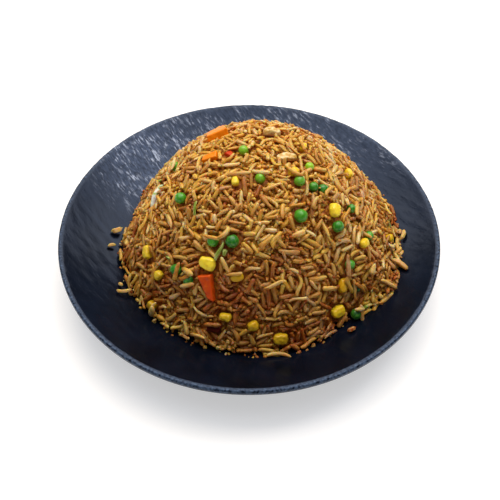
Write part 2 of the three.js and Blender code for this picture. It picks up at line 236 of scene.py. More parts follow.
def along_clefts(length, width):
    """The place drawn out along the clefts: one unit is a length by a width in mm."""
    turned_place = add(tree, "Mapping", {"Vector": place, "Rotation": (0, 0, -CLEFT_BEARING)})
    scale = [1 / (side * MM) for side in (length, width, length)]
    return add(tree, "Mapping", {"Vector": turned_place, "Scale": scale})


# The clefts too fine for the mesh: short raised dashes, with ripples between them.
dashes = add(tree, "TexNoise", {
    "Vector": along_clefts(5.6, 1.5), "Scale": 1, "Detail": 3, "Roughness": 0.6,
})
raised = add(tree, "MapRange", {
    "Value": dashes, "From Min": 0.5, "From Max": 0.72,
}, interpolation_type="SMOOTHSTEP")
ripple = add(tree, "TexNoise", {"Vector": along_clefts(3.0, 1.2), "Scale": 1, "Detail": 3})
patches = add(tree, "TexNoise", {"Vector": place, "Scale": 1 / (22 * MM), "Detail": 3})
tone = add(tree, "ValToRGB", {"Fac": patches}, stops=[(0.3, "#05080f"), (0.7, "#0a101c")])

# Where glints and sheen are painted on the face: lightly across the back, and most round
# one place on the wall.
back_place = add(tree, "SeparateXYZ", {0: place}).outputs["Y"]
back_start, back_end = [way * MM for way in BACK_SHEEN]
back_sheen = add(tree, "MapRange", {
    "Value": back_place, "From Min": back_start, "From Max": back_end, "To Max": 0.4,
}, interpolation_type="SMOOTHSTEP")
from_sheen_place = add(tree, "VectorMath", {0: place, 1: SHEEN_PLACE}, operation="DISTANCE")
side_start, side_end = [way * MM for way in SIDE_SHEEN]
side_sheen = add(tree, "MapRange", {
    "Value": from_sheen_place, "From Min": side_start, "From Max": side_end, "To Min": 0.9,
    "To Max": 0.0,
}, interpolation_type="SMOOTHSTEP")
most_sheen = add(tree, "Math", {0: back_sheen, 1: side_sheen}, operation="MAXIMUM")

# Where the sheen is painted, the relief also stands out more, the hollows get a painted hazy
# sheen and the crests painted pale glints.
relief_share = add(tree, "Math", {0: most_sheen, 1: 0.65, 2: 0.35}, operation="MULTIPLY_ADD")
sharp_height = add(tree, "Math", {0: ripple, 1: 0.3, 2: raised}, operation="MULTIPLY_ADD")
sheen_relief_height = add(tree, "Math", {0: sharp_height, 1: relief_share}, operation="MULTIPLY")
relief = add(tree, "Bump", {"Height": sheen_relief_height, "Strength": 0.9, "Distance": 0.1 * MM})
feed(tree, relief, shader.inputs["Normal"])
clusters = add(tree, "TexNoise", {"Vector": along_clefts(18, 9), "Scale": 1, "Detail": 2})
clustered = add(tree, "MapRange", {"Value": clusters, "From Min": 0.4, "From Max": 0.58})
glint_clusters = add(tree, "Math", {0: clustered, 1: most_sheen}, operation="MULTIPLY")
hollows = add(tree, "MapRange", {"Value": ripple, "From Min": 0.35, "From Max": 0.65})
painted_haze = add(tree, "Math", {0: hollows, 1: most_sheen}, operation="MULTIPLY")
# Painted sheen: hollows there are lightened to a hazy blue grey.
sheen_hazed = add(tree, "Mix", {0: painted_haze, 6: tone, 7: paint("#404a5e")}, data_type="RGBA")
glint_dashes = add(tree, "Math", {0: glint_clusters, 1: raised}, operation="MULTIPLY")
painted_glints = add(tree, "MapRange", {"Value": glint_dashes, "From Max": 0.5})
# Painted highlights: raised dashes there turn pale blue grey.
glint_lit = add(tree, "Mix", {0: painted_glints, 6: sheen_hazed, 7: paint("#9aa2b2")}, data_type="RGBA")

# The rim's crest is painted paler in specks all round: chips, and a painted highlight along
# the crest.
flat_place = add(tree, "VectorMath", {0: place, 1: (1, 1, 0)}, operation="MULTIPLY")
from_middle = add(tree, "VectorMath", {0: flat_place}, operation="LENGTH")
at_rim = add(tree, "MapRange", {
    "Value": from_middle, "From Min": (PLATE_RADIUS - 3.0) * MM,
    "From Max": (PLATE_RADIUS - 1.2) * MM,
})
chips = add(tree, "TexNoise", {"Vector": place, "Scale": 1 / (1.6 * MM), "Detail": 4})
chip_and_highlight_specks = add(tree, "MapRange", {"Value": chips, "From Min": 0.36, "From Max": 0.8})
rim_chips_and_highlight = add(tree, "Math", {0: chip_and_highlight_specks, 1: at_rim}, operation="MULTIPLY")
rim_chipped_and_highlighted = add(tree, "Mix", {0: rim_chips_and_highlight, 6: glint_lit, 7: paint("#54647a")}, data_type="RGBA")
feed(tree, rim_chipped_and_highlighted, shader.inputs["Base Color"])
gloss = add(tree, "MapRange", {"Value": patches, "To Min": 0.17, "To Max": 0.27})
feed(tree, gloss, shader.inputs["Roughness"])

points, faces = turned(
    plate_profile(), PLATE_STEPS_AROUND, FLOOR_HEIGHT - PLATE_THICKNESS, FLOOR_HEIGHT,
)
for point in points:
    radius = math.hypot(point[0], point[1])
    upper = point[2] > wall_height(radius) - 0.5 * PLATE_THICKNESS
    if upper and radius < PLATE_RADIUS - 0.1:
        fade = min(1, max(0, PLATE_RADIUS - radius - RIM_BAND) / CLEFT_FADE)
        point[2] += fade * min(MOST_CLEFT_RISE, cleft_relief(point[0], point[1]))
    if upper and radius > PLATE_RADIUS - RIM_BAND - 1:
        chip = noise.noise(Vector(point) / CHIP_LENGTH)
        point[2] -= CHIP_DEPTH * max(0, chip + 0.1)
plate = make_piece("slate_plate", points, faces)
plate.data.materials.append(melamine)
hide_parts("plate")
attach(plate, "root")

# ------------------------------------------------------------------ peas
# Cooked garden peas stirred through the rice. Each is a ball that sagged a little, with a
# thin skin that wrinkles over the soft inside, wet with oil.

PEA_WRINKLE = 0.055
PEA_WRINKLE_SIZE = 2.4
DEEPEST_DIMPLE = 0.2
DIMPLE_SPREAD = 0.12
# How lime each pea's green is, in order, from dark green to lime.
PEA_LIMENESS = (
    0.85, 0.7, 0.8, 1.0, 0.7, 0.45, 0.35, 0.6, 0.6, 0.45, 0.4, 0.6,
    0.25, 0.6, 0.35, 0.3, 0.6, 0.0, 0.25, 0.5, 0.3, 0.6, 0.4,
)
# Two peas that are pressed together, swollen to their full size.
PEA_SWELL = {"pea_6": 1.12, "pea_7": 1.22}


def nodes_of(kind):
    """The names of the CAD nodes of one kind of topping, in order."""
    found = [name for name in frame["nodes"] if name.rsplit("_", 1)[0] == kind]
    return sorted(found, key=lambda name: int(name.rsplit("_", 1)[1]))


def solid_of(name):
    """The middle in mm of a CAD node, and its mean radius."""
    corners = np.array([vertex.co for vertex in frame["nodes"][name].data.vertices]) / MM
    middle = (corners.min(axis=0) + corners.max(axis=0)) / 2
    return middle, np.linalg.norm(corners - middle, axis=1).mean()


def ball(cuts):
    """Points and faces of a unit ball made of even triangles."""
    mesh = bpy.data.meshes.new("ball")
    shape = bmesh.new()
    bmesh.ops.create_icosphere(shape, subdivisions=cuts, radius=1.0)
    shape.to_mesh(mesh)
    shape.free()
    points = np.array([vertex.co for vertex in mesh.vertices])
    faces = [tuple(face.vertices) for face in mesh.polygons]
    bpy.data.meshes.remove(mesh)
    return points, faces


def joined(shapes):
    """One set of points, faces and looks from several."""
    points, faces, looks, first = [], [], [], 0
    for shape_points, shape_faces, shape_looks in shapes:
        points.append(shape_points)
        looks.append(shape_looks)
        faces += [tuple(first + corner for corner in face) for face in shape_faces]
        first += len(shape_points)
    return np.vstack(points), faces, np.vstack(looks)


draw = np.random.default_rng(7)
ball_points, ball_faces = ball(3)
shapes = []
for name, limeness in zip(nodes_of("pea"), PEA_LIMENESS):
    middle, mean_radius = solid_of(name)
    radius = mean_radius * PEA_SWELL.get(name, 1.0)
    offset = Vector(draw.uniform(-50, 50, 3))
    wrinkle = np.array([
        noise.fractal(Vector(point) * radius / PEA_WRINKLE_SIZE + offset, 1.0, 2.0, 2)
        for point in ball_points
    ])
    dimple_way = Vector(draw.normal(size=3)).normalized()
    facing = ball_points @ np.array(dimple_way)
    dimple = np.exp(-((1 - facing) / DIMPLE_SPREAD) ** 2) * draw.uniform(0, DEEPEST_DIMPLE)
    size = radius * (1 + PEA_WRINKLE * wrinkle - dimple)
    looks = np.full((len(ball_points), 4), limeness)
    shapes.append((middle + ball_points * size[:, None], ball_faces, looks))
peas = make_piece("peas", *joined(shapes))


def looks_of(tree):
    """The numbers that a mesh stores for its looks, as separate values."""
    stored = add(tree, "Attribute", attribute_name="looks").outputs["Color"]
    return add(tree, "SeparateColor", {"Color": stored}).outputs


# Pea skin, IOR about 1.4: a smooth waxy film over soft flesh that light enters.
pea_skin, tree, shader = new_material(
    "pea_skin", IOR=1.4, Roughness=0.34, Specular_IOR_Level=0.45, Coat_Weight=0.3,
    Coat_Roughness=0.22, Subsurface_Weight=0.3, Subsurface_Scale=1.5 * MM,
    Subsurface_Radius=(0.6, 1.0, 0.25),
)
place = add(tree, "TexCoord").outputs["Object"]
green = add(tree, "ValToRGB", {"Fac": looks_of(tree)[0]}, stops=[
    (0.0, "#063a04"), (0.3, "#146a0c"), (0.6, "#3e8c16"), (1.0, "#98c41c"),
])
# Pale spots all over are painted highlights: glints on the wet wrinkled skin.
mottle = add(tree, "TexNoise", {"Vector": place, "Scale": 1 / (1.8 * MM), "Detail": 4})
painted_glint_spots = add(tree, "MapRange", {
    "Value": mottle, "From Min": 0.45, "From Max": 0.75, "To Max": 0.55,
})
glint_spotted = add(tree, "Mix", {0: painted_glint_spots, 6: green, 7: paint("#7cb648")}, data_type="RGBA")
feed(tree, glint_spotted, shader.inputs["Base Color"])
wrinkles = add(tree, "TexNoise", {"Vector": place, "Scale": 1 / (1.6 * MM), "Detail": 3})
relief = add(tree, "Bump", {"Height": wrinkles, "Strength": 0.8, "Distance": 0.35 * MM})
feed(tree, relief, shader.inputs["Normal"])
peas.data.materials.append(pea_skin)
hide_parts(*nodes_of("pea"))
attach(peas, "root")

# ------------------------------------------------------------------ sweetcorn
# Kernels cut from the cob: a soft wedge with a domed, slightly dented crown, and taut
# shiny skin over a milky inside. Some kernels are painted browner, as shade.

# How pale each kernel is, in order, from amber to lemon.
CORN_PALENESS = (
    0.9, 0.6, 0.35, 0.7, 0.85, 0.8, 0.9, 0.4, 0.8, 0.6,
    0.6, 0.5, 0.55, 0.6, 0.2, 0.75, 0.4, 0.6, 0.5, 0.7,
)
# How far each kernel is painted browner, as shade, in order.
CORN_SHADE = (
    0.0, 0.0, 0.0, 0.1, 0.0, 0.2, 0.0, 0.4, 0.2, 0.5,
    0.35, 0.45, 0.4, 0.0, 0.1, 0.1, 0.0, 0.2, 0.2, 0.2,
)
# How many rounds of smoothing wear a kernel's edges, and one kernel that was cut square.
KERNEL_ROUNDING = 20
SQUARE_CUT = {"corn_6": 1}
KERNEL_DENTS = {"depth": 0.35, "size": 3.2}
REMESH_SIZE = 0.4 * MM


def copied(name, node):
    """A new piece with a copy of a CAD node's mesh."""
    piece = bpy.data.objects.new(name, frame["nodes"][node].data.copy())
    bpy.context.scene.collection.objects.link(piece)
    piece.data.materials.clear()
    return piece


def worked_in(piece):
    """Works a piece's modifiers into its mesh, and returns the smooth new mesh."""
    evaluated = piece.evaluated_get(bpy.context.evaluated_depsgraph_get())
    fine = bpy.data.meshes.new_from_object(evaluated)
    piece.modifiers.clear()
    piece.data = fine
    fine.shade_smooth()
    return fine


def refined(name, node, rounding, depth, size, looks):
    """A finer copy of a CAD node: edges worn round, faces dented by a depth over a size in
    mm, and one set of looks."""
    piece = copied(name, node)
    remesh = piece.modifiers.new("even_faces", "REMESH")
    remesh.mode = "VOXEL"
    remesh.voxel_size = REMESH_SIZE
    soften = piece.modifiers.new("worn_edges", "SMOOTH")
    soften.iterations = rounding
    soften.factor = 0.5
    fine = worked_in(piece)
    for vertex in fine.vertices:
        dent = noise.fractal(vertex.co / (size * MM), 1.0, 2.0, 2)
        vertex.co += vertex.normal * dent * depth * MM
    store(fine, "looks", np.tile(np.float32(looks), (len(fine.vertices), 1)))
    return piece


def merged(name, parts, material):
    """Several pieces joined into one of one material, under one name."""
    with bpy.context.temp_override(active_object=parts[0], selected_editable_objects=parts):
        bpy.ops.object.join()
    piece = parts[0]
    piece.name = piece.data.name = name
    piece.data.materials.clear()
    piece.data.materials.append(material)
    return piece


# Corn skin, IOR about 1.4: glossy and taut, yellow with amber clouds in it.
corn_skin, tree, shader = new_material(
    "sweetcorn_skin", IOR=1.4, Roughness=0.36, Specular_IOR_Level=0.4, Coat_Weight=0.2,
    Coat_Roughness=0.2, Subsurface_Weight=0.35, Subsurface_Scale=1.8 * MM,
    Subsurface_Radius=(1.0, 0.7, 0.2),
)
place = add(tree, "TexCoord").outputs["Object"]
paleness, kernel_shade = looks_of(tree)[:2]
yellow = add(tree, "ValToRGB", {"Fac": paleness}, stops=[
    (0.0, "#e0a010"), (0.5, "#ecc21c"), (1.0, "#f2da38"),
])
clouds = add(tree, "TexNoise", {"Vector": place, "Scale": 1 / (2.5 * MM), "Detail": 3})
amber = add(tree, "MapRange", {
    "Value": clouds, "From Min": 0.45, "From Max": 0.75, "To Max": 0.5,
})
cloudy = add(tree, "Mix", {0: amber, 6: yellow, 7: paint("#d4920c")}, data_type="RGBA")
# Painted shade: some kernels are browned towards dark amber.
shaded_kernels = add(tree, "Mix", {0: kernel_shade, 6: cloudy, 7: paint("#8e5a08")}, data_type="RGBA")
feed(tree, shaded_kernels, shader.inputs["Base Color"])
puckers = add(tree, "TexNoise", {"Vector": place, "Scale": 1 / (1.6 * MM), "Detail": 3})
relief = add(tree, "Bump", {"Height": puckers, "Strength": 0.4, "Distance": 0.2 * MM})
feed(tree, relief, shader.inputs["Normal"])
corn = merged("sweetcorn", [
    refined(f"kernel_{node}", node, SQUARE_CUT.get(node, KERNEL_ROUNDING), **KERNEL_DENTS,
            looks=(paleness, kernel_shade, 1, 1))
    for node, paleness, kernel_shade in zip(nodes_of("corn"), CORN_PALENESS, CORN_SHADE)
], corn_skin)
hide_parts(*nodes_of("corn"))
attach(corn, "root")

# ------------------------------------------------------------------ carrot
# Diced carrot, cooked until its cut edges rounded. Its flesh runs from red at the core to
# orange outside, and the cut faces are wet.

# The flesh of each piece, in order: how orange it is, and how far it is darkened towards maroon.
CARROT_LOOKS = ((1.0, 0.0), (0.75, 0.1), (0.25, 0.08), (0.0, 0.9), (0.0, 0.0), (0.5, 0.2))
CARROT_ROUNDING = 3
CARROT_DENTS = {"depth": 0.25, "size": 3.0}

# Cooked carrot, IOR about 1.4: soft wet flesh, faintly fibrous.
carrot_flesh, tree, shader = new_material(
    "carrot_flesh", IOR=1.41, Roughness=0.38, Specular_IOR_Level=0.3, Coat_Weight=0.08,
    Coat_Roughness=0.15, Subsurface_Weight=0.15, Subsurface_Scale=1.2 * MM,
    Subsurface_Radius=(1.0, 0.35, 0.08),
)
place = add(tree, "TexCoord").outputs["Object"]
orange, soy_and_shade = looks_of(tree)[:2]
mottle = add(tree, "TexNoise", {"Vector": place, "Scale": 1 / (4 * MM), "Detail": 4})
ripeness = add(tree, "Math", {0: mottle, 1: 0.6, 2: orange}, operation="MULTIPLY_ADD")
flesh = add(tree, "ValToRGB", {"Fac": ripeness}, stops=[
    (0.1, "#b01c06"), (0.55, "#d04a06"), (1.0, "#f4860a"),
])
darkened = add(tree, "Mix", {0: soy_and_shade, 6: flesh, 7: paint("#4a140a")}, data_type="RGBA")
feed(tree, darkened, shader.inputs["Base Color"])
fibres = add(tree, "TexNoise", {"Vector": place, "Scale": 1 / (0.6 * MM), "Detail": 3})
relief = add(tree, "Bump", {"Height": fibres, "Strength": 0.6, "Distance": 0.2 * MM})
feed(tree, relief, shader.inputs["Normal"])
carrot = merged("diced_carrot", [
    refined(f"cut_{node}", node, CARROT_ROUNDING, **CARROT_DENTS, looks=(orange, soy_and_shade, 1, 1))
    for node, (orange, soy_and_shade) in zip(nodes_of("carrot"), CARROT_LOOKS)
], carrot_flesh)
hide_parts(*nodes_of("carrot"))
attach(carrot, "root")

# ------------------------------------------------------------------ spring onion and egg
# A sliver of spring onion, white at one edge and green at the other, and thin flakes of
# scrambled egg. They are too thin to remesh, so each takes the CAD form, split finer.

THIN_NODES = ["scallion_strip", "egg_flake_1", "egg_flake_2"]
WAVE_HEIGHT = 0.25
WAVE_LENGTH = 2.5


def split_finer(name, node):
    """A CAD node's thin form with a smooth surface and slightly wavy faces."""
    piece = copied(name, node)
    weld = piece.modifiers.new("weld", "WELD")
    weld.merge_threshold = 0.001 * MM
    finer = piece.modifiers.new("finer", "SUBSURF")
    finer.levels = finer.render_levels = 3
    for vertex in worked_in(piece).vertices:
        vertex.co.z += WAVE_HEIGHT * MM * noise.fractal(vertex.co / (WAVE_LENGTH * MM), 1.0, 2.0, 2)
    return piece


# Spring onion, IOR about 1.4: ribbed and waxy, with green that fades into the white.
onion_leaf, tree, shader = new_material(
    "spring_onion", IOR=1.4, Roughness=0.35, Subsurface_Weight=0.15, Subsurface_Scale=0.8 * MM,
)
place = add(tree, "TexCoord").outputs["Object"]
streaks = add(tree, "TexNoise", {"Vector": place, "Scale": 1 / (3.5 * MM), "Detail": 2})
leaf = add(tree, "ValToRGB", {"Fac": streaks}, stops=[
    (0.42, "#e9e6d8"), (0.56, "#d9dcc0"), (0.66, "#8fae52"),
])
feed(tree, leaf, shader.inputs["Base Color"])
ribs = add(tree, "TexWave", {"Vector": place, "Scale": 1 / (2.2 * MM), "Distortion": 2.0})
relief = add(tree, "Bump", {
    "Height": ribs.outputs["Fac"], "Strength": 0.2, "Distance": 0.1 * MM,
})
feed(tree, relief, shader.inputs["Normal"])
strip = split_finer("spring_onion_sliver", "scallion_strip")
strip.data.materials.append(onion_leaf)
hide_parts("scallion_strip")
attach(strip, "root")

# Scrambled egg, IOR about 1.4: matte and curdled, pale yellow with browned places.
egg_curd, tree, shader = new_material(
    "egg_curd", IOR=1.4, Roughness=0.45, Subsurface_Weight=0.15, Subsurface_Scale=1.0 * MM,
)
place = add(tree, "TexCoord").outputs["Object"]
curds = add(tree, "TexNoise", {"Vector": place, "Scale": 1 / (2.2 * MM), "Detail": 4})
egg = add(tree, "ValToRGB", {"Fac": curds}, stops=[
    (0.36, "#b8862e"), (0.5, "#d4b068"), (0.66, "#e4d0a0"),
])
feed(tree, egg, shader.inputs["Base Color"])
relief = add(tree, "Bump", {"Height": curds, "Strength": 0.8, "Distance": 0.5 * MM})
feed(tree, relief, shader.inputs["Normal"])
egg_flakes = []
for i in (1, 2):
    flake = split_finer(f"egg_curd_{i}", f"egg_flake_{i}")
    egg_flakes.append(flake)
    flake.data.materials.append(egg_curd)
    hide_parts(f"egg_flake_{i}")
    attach(flake, "root")

# ------------------------------------------------------------------ rice core
# The inside of the heap, where grains are packed too tightly to be seen one by one. Only
# its oily brown shows, in the gaps between the loose grains that cover it.

HEAP_X, HEAP_Y = 6.5, 2.5
HEAP_RADIUS = 89.0
HEAP_BASE = 20.0
HEAP_RISE = 74.5
HEAP_ROUNDNESS = 2.55
HEAP_FALL = 1.05
# Where the heap's foot bulges or dents, as: bearing and half width in degrees, push in mm.
HEAP_LOBES = ((-52, 12, -6), (-30, 9, 4), (165, 14, -4))
CORE_DEPTH = 4.6
CORE_RINGS = 70
CORE_BOTTOM_RINGS = 16
CORE_STEPS_AROUND = 200
CORE_LUMP_SIZE = 4.0
CORE_LUMP_DEPTH = 0.8
CORE_SMOOTH_FOOT = 6.0
PLATE_GAP = 0.4
# The height given to places beside the heap, or beside a grain.
NOWHERE = -1000.0


def heap_radius(bearing, depth):
    """Distance in mm from the heap's axis to its foot, less a depth under its surface."""
    radius = np.full_like(np.asarray(bearing, dtype=float), HEAP_RADIUS - depth)
    for middle, half_width, push in HEAP_LOBES:
        away = (np.degrees(bearing) - middle + 180) % 360 - 180
        radius += push * np.exp(-((away / half_width) ** 2))
    return radius


def heap_height(x, y, depth):
    """Height in mm of the heap, less a depth."""
    dx, dy = x - HEAP_X, y - HEAP_Y
    share = np.hypot(dx, dy) / heap_radius(np.arctan2(dy, dx), depth)
    inside = np.clip(1 - np.minimum(share, 1) ** HEAP_ROUNDNESS, 0, 1)
    height = HEAP_BASE + (HEAP_RISE - depth) * inside**HEAP_FALL
    return np.where(share < 1, height, NOWHERE)


bearings = np.arange(CORE_STEPS_AROUND) * 2 * math.pi / CORE_STEPS_AROUND
core_radius = heap_radius(bearings, CORE_DEPTH)


def core_ring(share):
    """The places in plan of one ring of the core, and the height just clear of the plate."""
    x = HEAP_X + share * core_radius * np.cos(bearings)
    y = HEAP_Y + share * core_radius * np.sin(bearings)
    return x, y, wall_height(np.hypot(x, y)) + PLATE_GAP


core_points = []
for share in np.linspace(0.02, 0.995, CORE_RINGS) ** 0.75:
    x, y, lowest = core_ring(share)
    z = np.maximum(heap_height(x, y, CORE_DEPTH), lowest + 0.05)
    core_points.append(np.column_stack([x, y, z]))
for share in np.linspace(0.995, 0.05, CORE_BOTTOM_RINGS):
    core_points.append(np.column_stack(core_ring(share)))
rows = len(core_points)
core_points = np.vstack(core_points + [
    [[HEAP_X, HEAP_Y, HEAP_BASE + HEAP_RISE - CORE_DEPTH]],
    [[HEAP_X, HEAP_Y, FLOOR_HEIGHT + PLATE_GAP]],
])
for point in core_points[:CORE_RINGS * CORE_STEPS_AROUND]:
    if point[2] > HEAP_BASE + CORE_SMOOTH_FOOT:
        lump = noise.fractal(Vector(point) / CORE_LUMP_SIZE, 1.0, 2.0, 2)
        point[2] += CORE_LUMP_DEPTH * min(0, lump)
core_faces = [face[::-1] for face in ring_faces(rows, CORE_STEPS_AROUND)]

# Packed rice, soaked with soy and oil, IOR about 1.4: matte and golden, with painted shade in
# brown between its packed grains.
packed_rice, tree, shader = new_material("packed_rice", IOR=1.4, Roughness=0.6)
place = add(tree, "TexCoord").outputs["Object"]
packing = add(tree, "TexVoronoi", {"Vector": place, "Scale": 1 / (2.5 * MM)})
packed_with_shade = add(tree, "ValToRGB", {"Fac": packing}, stops=[(0.1, "#cc8420"), (0.6, "#9c5210")])
feed(tree, packed_with_shade, shader.inputs["Base Color"])
relief = add(tree, "Bump", {
    "Height": packing, "Strength": 0.8, "Distance": 1.0 * MM,
}, invert=True)
feed(tree, relief, shader.inputs["Normal"])
core = make_piece("rice_core", core_points, core_faces)
core.data.materials.append(packed_rice)
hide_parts("rice")
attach(core, "root")

# ------------------------------------------------------------------ rice grains
# Boiled long grain rice, fried with soy and pressed in a bowl. Each grain is laid on the
# heap in turn and rests on two touching places, so grains bridge, lean and leave gaps.

# The laying is worked out on a map of the heap's skin: a disc whose radius is the way
# down the side, and whose heights are measured square to the skin. Its cells are square,
# with larger ones for the lumps of the surface.
CELL = 0.5
MAP_HALF = 150.0
MAP_CELLS = int(2 * MAP_HALF / CELL)
LUMP_CELLS = 150
LUMP_STEP = 2 * MAP_HALF / LUMP_CELLS
LUMP_SIZE = 9.0
LUMP_HEIGHT = 0.6
SLOPE_STEP = 0.8
# How high grains lie on the plate round the foot, and how far they spill over it.
FOOT_LIFT = 1.1
FOOT_SPILL = 1.2
# Shortest, usual and longest lengths of whole grains and of broken ones.
GRAIN_LENGTH = (5.4, 9.2, 14.0)
BIT_LENGTH = (2.2, 3.4, 5.0)
# The small crumbs between them: how many, shortest and longest, how wide for their
# length, how steep at most, and how far proud of the gap for their width.
CRUMBS = 4000
CRUMB_LENGTH = (1.0, 2.6)
CRUMB_ROUNDNESS = (0.55, 0.95)
CRUMB_SLOPE = 0.5
CRUMB_LIFT = 0.2
# Narrowest and widest grains, and how thick they are for their width.
GRAIN_WIDTH = (2.05, 3.1)
GRAIN_FLATTENING = (0.65, 0.95)
# How far a grain is rolled over, in radians, how far it tapers to one end, how blunt its
# ends are, from pointed to square, and how uneven its girth is.
ROLL = 0.4
TAPER = 0.25
BLUNTNESS = (2.6, 8.0)
UNEVEN_GIRTH = 0.09
# Grains on end: how many, how steep, and how far their upper ends stand out. They stand
# only in gaps this deep, this high above the foot.
STANDING_GRAINS = 250
STANDING_SLOPE = (1.2, 5.0)
STANDING_OUT = (-0.6, 0.5)
STANDING_GAP = 0.6
STANDING_LOWEST = 12.0
# A bundled grain lies beside one of the last laid: within a turn in radians, a way along
# in mm and a way aside in widths. The first few lie singly.
FRIENDS = 2500
SINGLE_GRAINS = 50
FRIEND_TURN = 0.22
FRIEND_SLIDE = 3.5
FRIEND_ASIDE = (0.85, 1.6)
# How far a grain is pressed into what it rests on. Where its tips are, in lengths, and how
# far they stay above the plate, in widths.
SINK = 0.85
TIP = 0.48
TIP_CLEARANCE = 0.3
OUT_OF_REACH = 99.0
# Soy and painted shade: the grains are palest above one height and darkest below another,
# and darker round one place at the front, where the heap faces away from the light.
SOY_AND_SHADE_TOP = 92.0
SOY_AND_SHADE_BOTTOM = 38.0
SOY_PATCH_SIZE = 14.0
SOY_AND_SHADE_FRONT_PLACE = (6.0, -60.0)
SOY_AND_SHADE_FRONT_REACH = 44.0
SOY_LEAST, SOY_AND_SHADE_LOW, SOY_AND_SHADE_FRONT, SOY_PATCHY = 0.02, 0.38, 0.38, 0.7
# Painted shade between grains: they darken with depth, from one depth under the skin and over
# another.
SHADE_START = 0.2
SHADE_DEPTH = 3.5
# Where the share of soy and painted shade parts pale from golden, golden from amber and amber
# from the darkest, and how much a grain's own paleness counts in that.
KIND_LIMITS = (0.2, 0.38, 0.58)
KIND_TONE = 0.25
# Grains are laid out to this share of the way to the foot, and are kept this low under
# the skin, a little higher near the plate, and lower round a topping, out to a margin.
LAID_SHARE = 1.015
LEVEL_DEPTH = 1.15
FOOT_LEVEL = 0.2
FOOT_BAND = 3.0
CLEAR_MARGIN = 0.9
CLEAR_DEPTH = 0.9
# How far grains may press into each topping. Below nothing, they are kept off it.
PRESSED_IN = (
    (peas, 0.7), (corn, 0.5), (carrot, -0.3), (strip, -2.5),
    (egg_flakes[0], -0.8), (egg_flakes[1], -0.3),
)
# Where grains have been stirred over a topping: bearings in plan of its covered sides.
COVERED_SIDES = {
    "pea_2": (180, -20), "pea_3": (90,), "pea_7": (-30,), "pea_10": (0,),
    "pea_12": (70,), "pea_15": (-10,), "pea_16": (80, -100), "pea_17": (180,),
    "pea_18": (180, 70), "pea_19": (0,), "corn_2": (180,), "corn_3": (-100,),
    "corn_8": (100,), "corn_9": (180,), "corn_10": (-40,), "corn_15": (20,),
    "carrot_4": (80,),
}
# How far out on a topping such a grain lies, as a share of its radius, and how far it is
# turned, in radians.
COVER_REACH = 0.3
COVER_TURN = 0.2
# Grains that catch the eye, as: bearing in plan in degrees, share of the way out to the
# foot, turn in degrees from downhill, length and width in mm, paleness and soy.
MARKED_GRAINS = (
    (133, 0.18, 26, 7.6, 2.4, 0.9, 0.0), (116, 0.11, -33, 9.1, 2.7, 0.85, 0.0),
    (-158, 0.10, 52, 10.0, 2.4, 0.8, 0.1), (174, 0.43, 81, 12.1, 2.4, 0.75, 0.1),
    (-129, 0.21, -52, 13.9, 2.4, 0.8, 0.05), (-113, 0.56, -29, 9.3, 3.0, 0.8, 0.1),
    (-151, 0.49, 42, 7.8, 2.4, 0.8, 0.1), (-116, 0.48, -8, 10.2, 2.4, 0.65, 0.2),
    (-86, 0.57, -38, 10.6, 3.5, 0.5, 0.15), (-81, 0.56, -33, 10.6, 3.5, 0.4, 0.15),
    (-65, 0.57, -89, 8.4, 3.6, 0.85, 0.1), (-41, 0.47, -60, 8.3, 2.7, 0.8, 0.1),
    (-74, 0.27, -85, 11.8, 2.2, 0.8, 0.05), (9, 0.92, 76, 14.5, 2.4, 0.8, 0.0),
    (-109, 0.69, 41, 10.2, 2.4, 0.85, 0.05),
    (-127, 0.77, -82, 10.5, 3.6, 0.7, 0.15), (-115, 0.90, 82, 13.7, 2.2, 0.95, 0.0),
    (-136, 0.98, -9, 9.8, 3.0, 0.9, 0.0), (-156, 0.99, 36, 9.3, 2.4, 0.85, 0.0),
    (-115, 0.97, -71, 13.0, 2.4, 0.8, 0.1), (-83, 0.75, -77, 13.7, 2.4, 0.9, 0.0),
    (-71, 0.78, -18, 11.8, 2.2, 0.8, 0.1), (-56, 0.85, 59, 10.7, 3.6, 0.85, 0.1),
    (-83, 1.00, 81, 14.5, 2.4, 0.85, 0.0), (-45, 1.03, -76, 11.6, 3.3, 1.0, 0.0),
    (-14, 1.01, -47, 13.4, 3.0, 0.85, 0.0), (-16, 1.03, -28, 12.1, 3.6, 0.9, 0.0),
    (-29, 0.95, 26, 14.5, 2.5, 0.9, 0.0), (-33, 0.86, -51, 7.2, 4.2, 0.9, 0.0),
    (-73, 0.82, -85, 11.1, 2.0, 1.0, 0.0), (-11, 0.93, -1, 5.4, 2.4, 1.25, -0.1),
)
# Shreds of green leaf among the grains, as: bearing, share, turn, length and width.
GREEN_SHREDS = (
    (-143, 0.53, 35, 9.4, 1.8), (-114, 0.64, -7, 12.2, 2.2), (4, 0.94, -32, 8.7, 1.9),
    (-42, 0.98, -71, 3.8, 2.4), (-141, 0.78, -76, 5.4, 1.8), (-111, 0.64, -16, 4.1, 3.0),
    (164, 0.76, -74, 5.7, 1.8),
)
# A marked grain is seldom as pale as the palest, and each has a little soy.
MARKED_TONE = 0.75
MARKED_SOY = 0.1
# The least share of a grain's top that has to be in sight for it to be made.
LEAST_SHOWN = 0.02
GRAIN_RINGS = np.array([-0.97, -0.84, -0.5, 0.0, 0.5, 0.84, 0.97])
GRAIN_SIDES = 6
CRUMB_RINGS = np.array([-0.8, 0.0, 0.8])
CRUMB_SIDES = 5

# The way down the heap's side, step by step, against the share of the way out to its foot.
share_steps = np.linspace(0, 1.12, 900)
flat_steps = np.minimum(share_steps, 1)
rise_steps = HEAP_RISE * (1 - flat_steps**HEAP_ROUNDNESS) ** HEAP_FALL
way_steps = np.hypot(np.diff(share_steps) * HEAP_RADIUS, np.diff(rise_steps))
way_steps = np.concatenate([[0], np.cumsum(way_steps)])


def skin_height(x, y):
    """Height in mm of the heap's mean skin, running out over the plate round its foot."""
    plate_part = wall_height(np.hypot(x, y)) + FOOT_LIFT
    heap_part = heap_height(x, y, 0.0)
    return np.maximum(heap_part, plate_part)


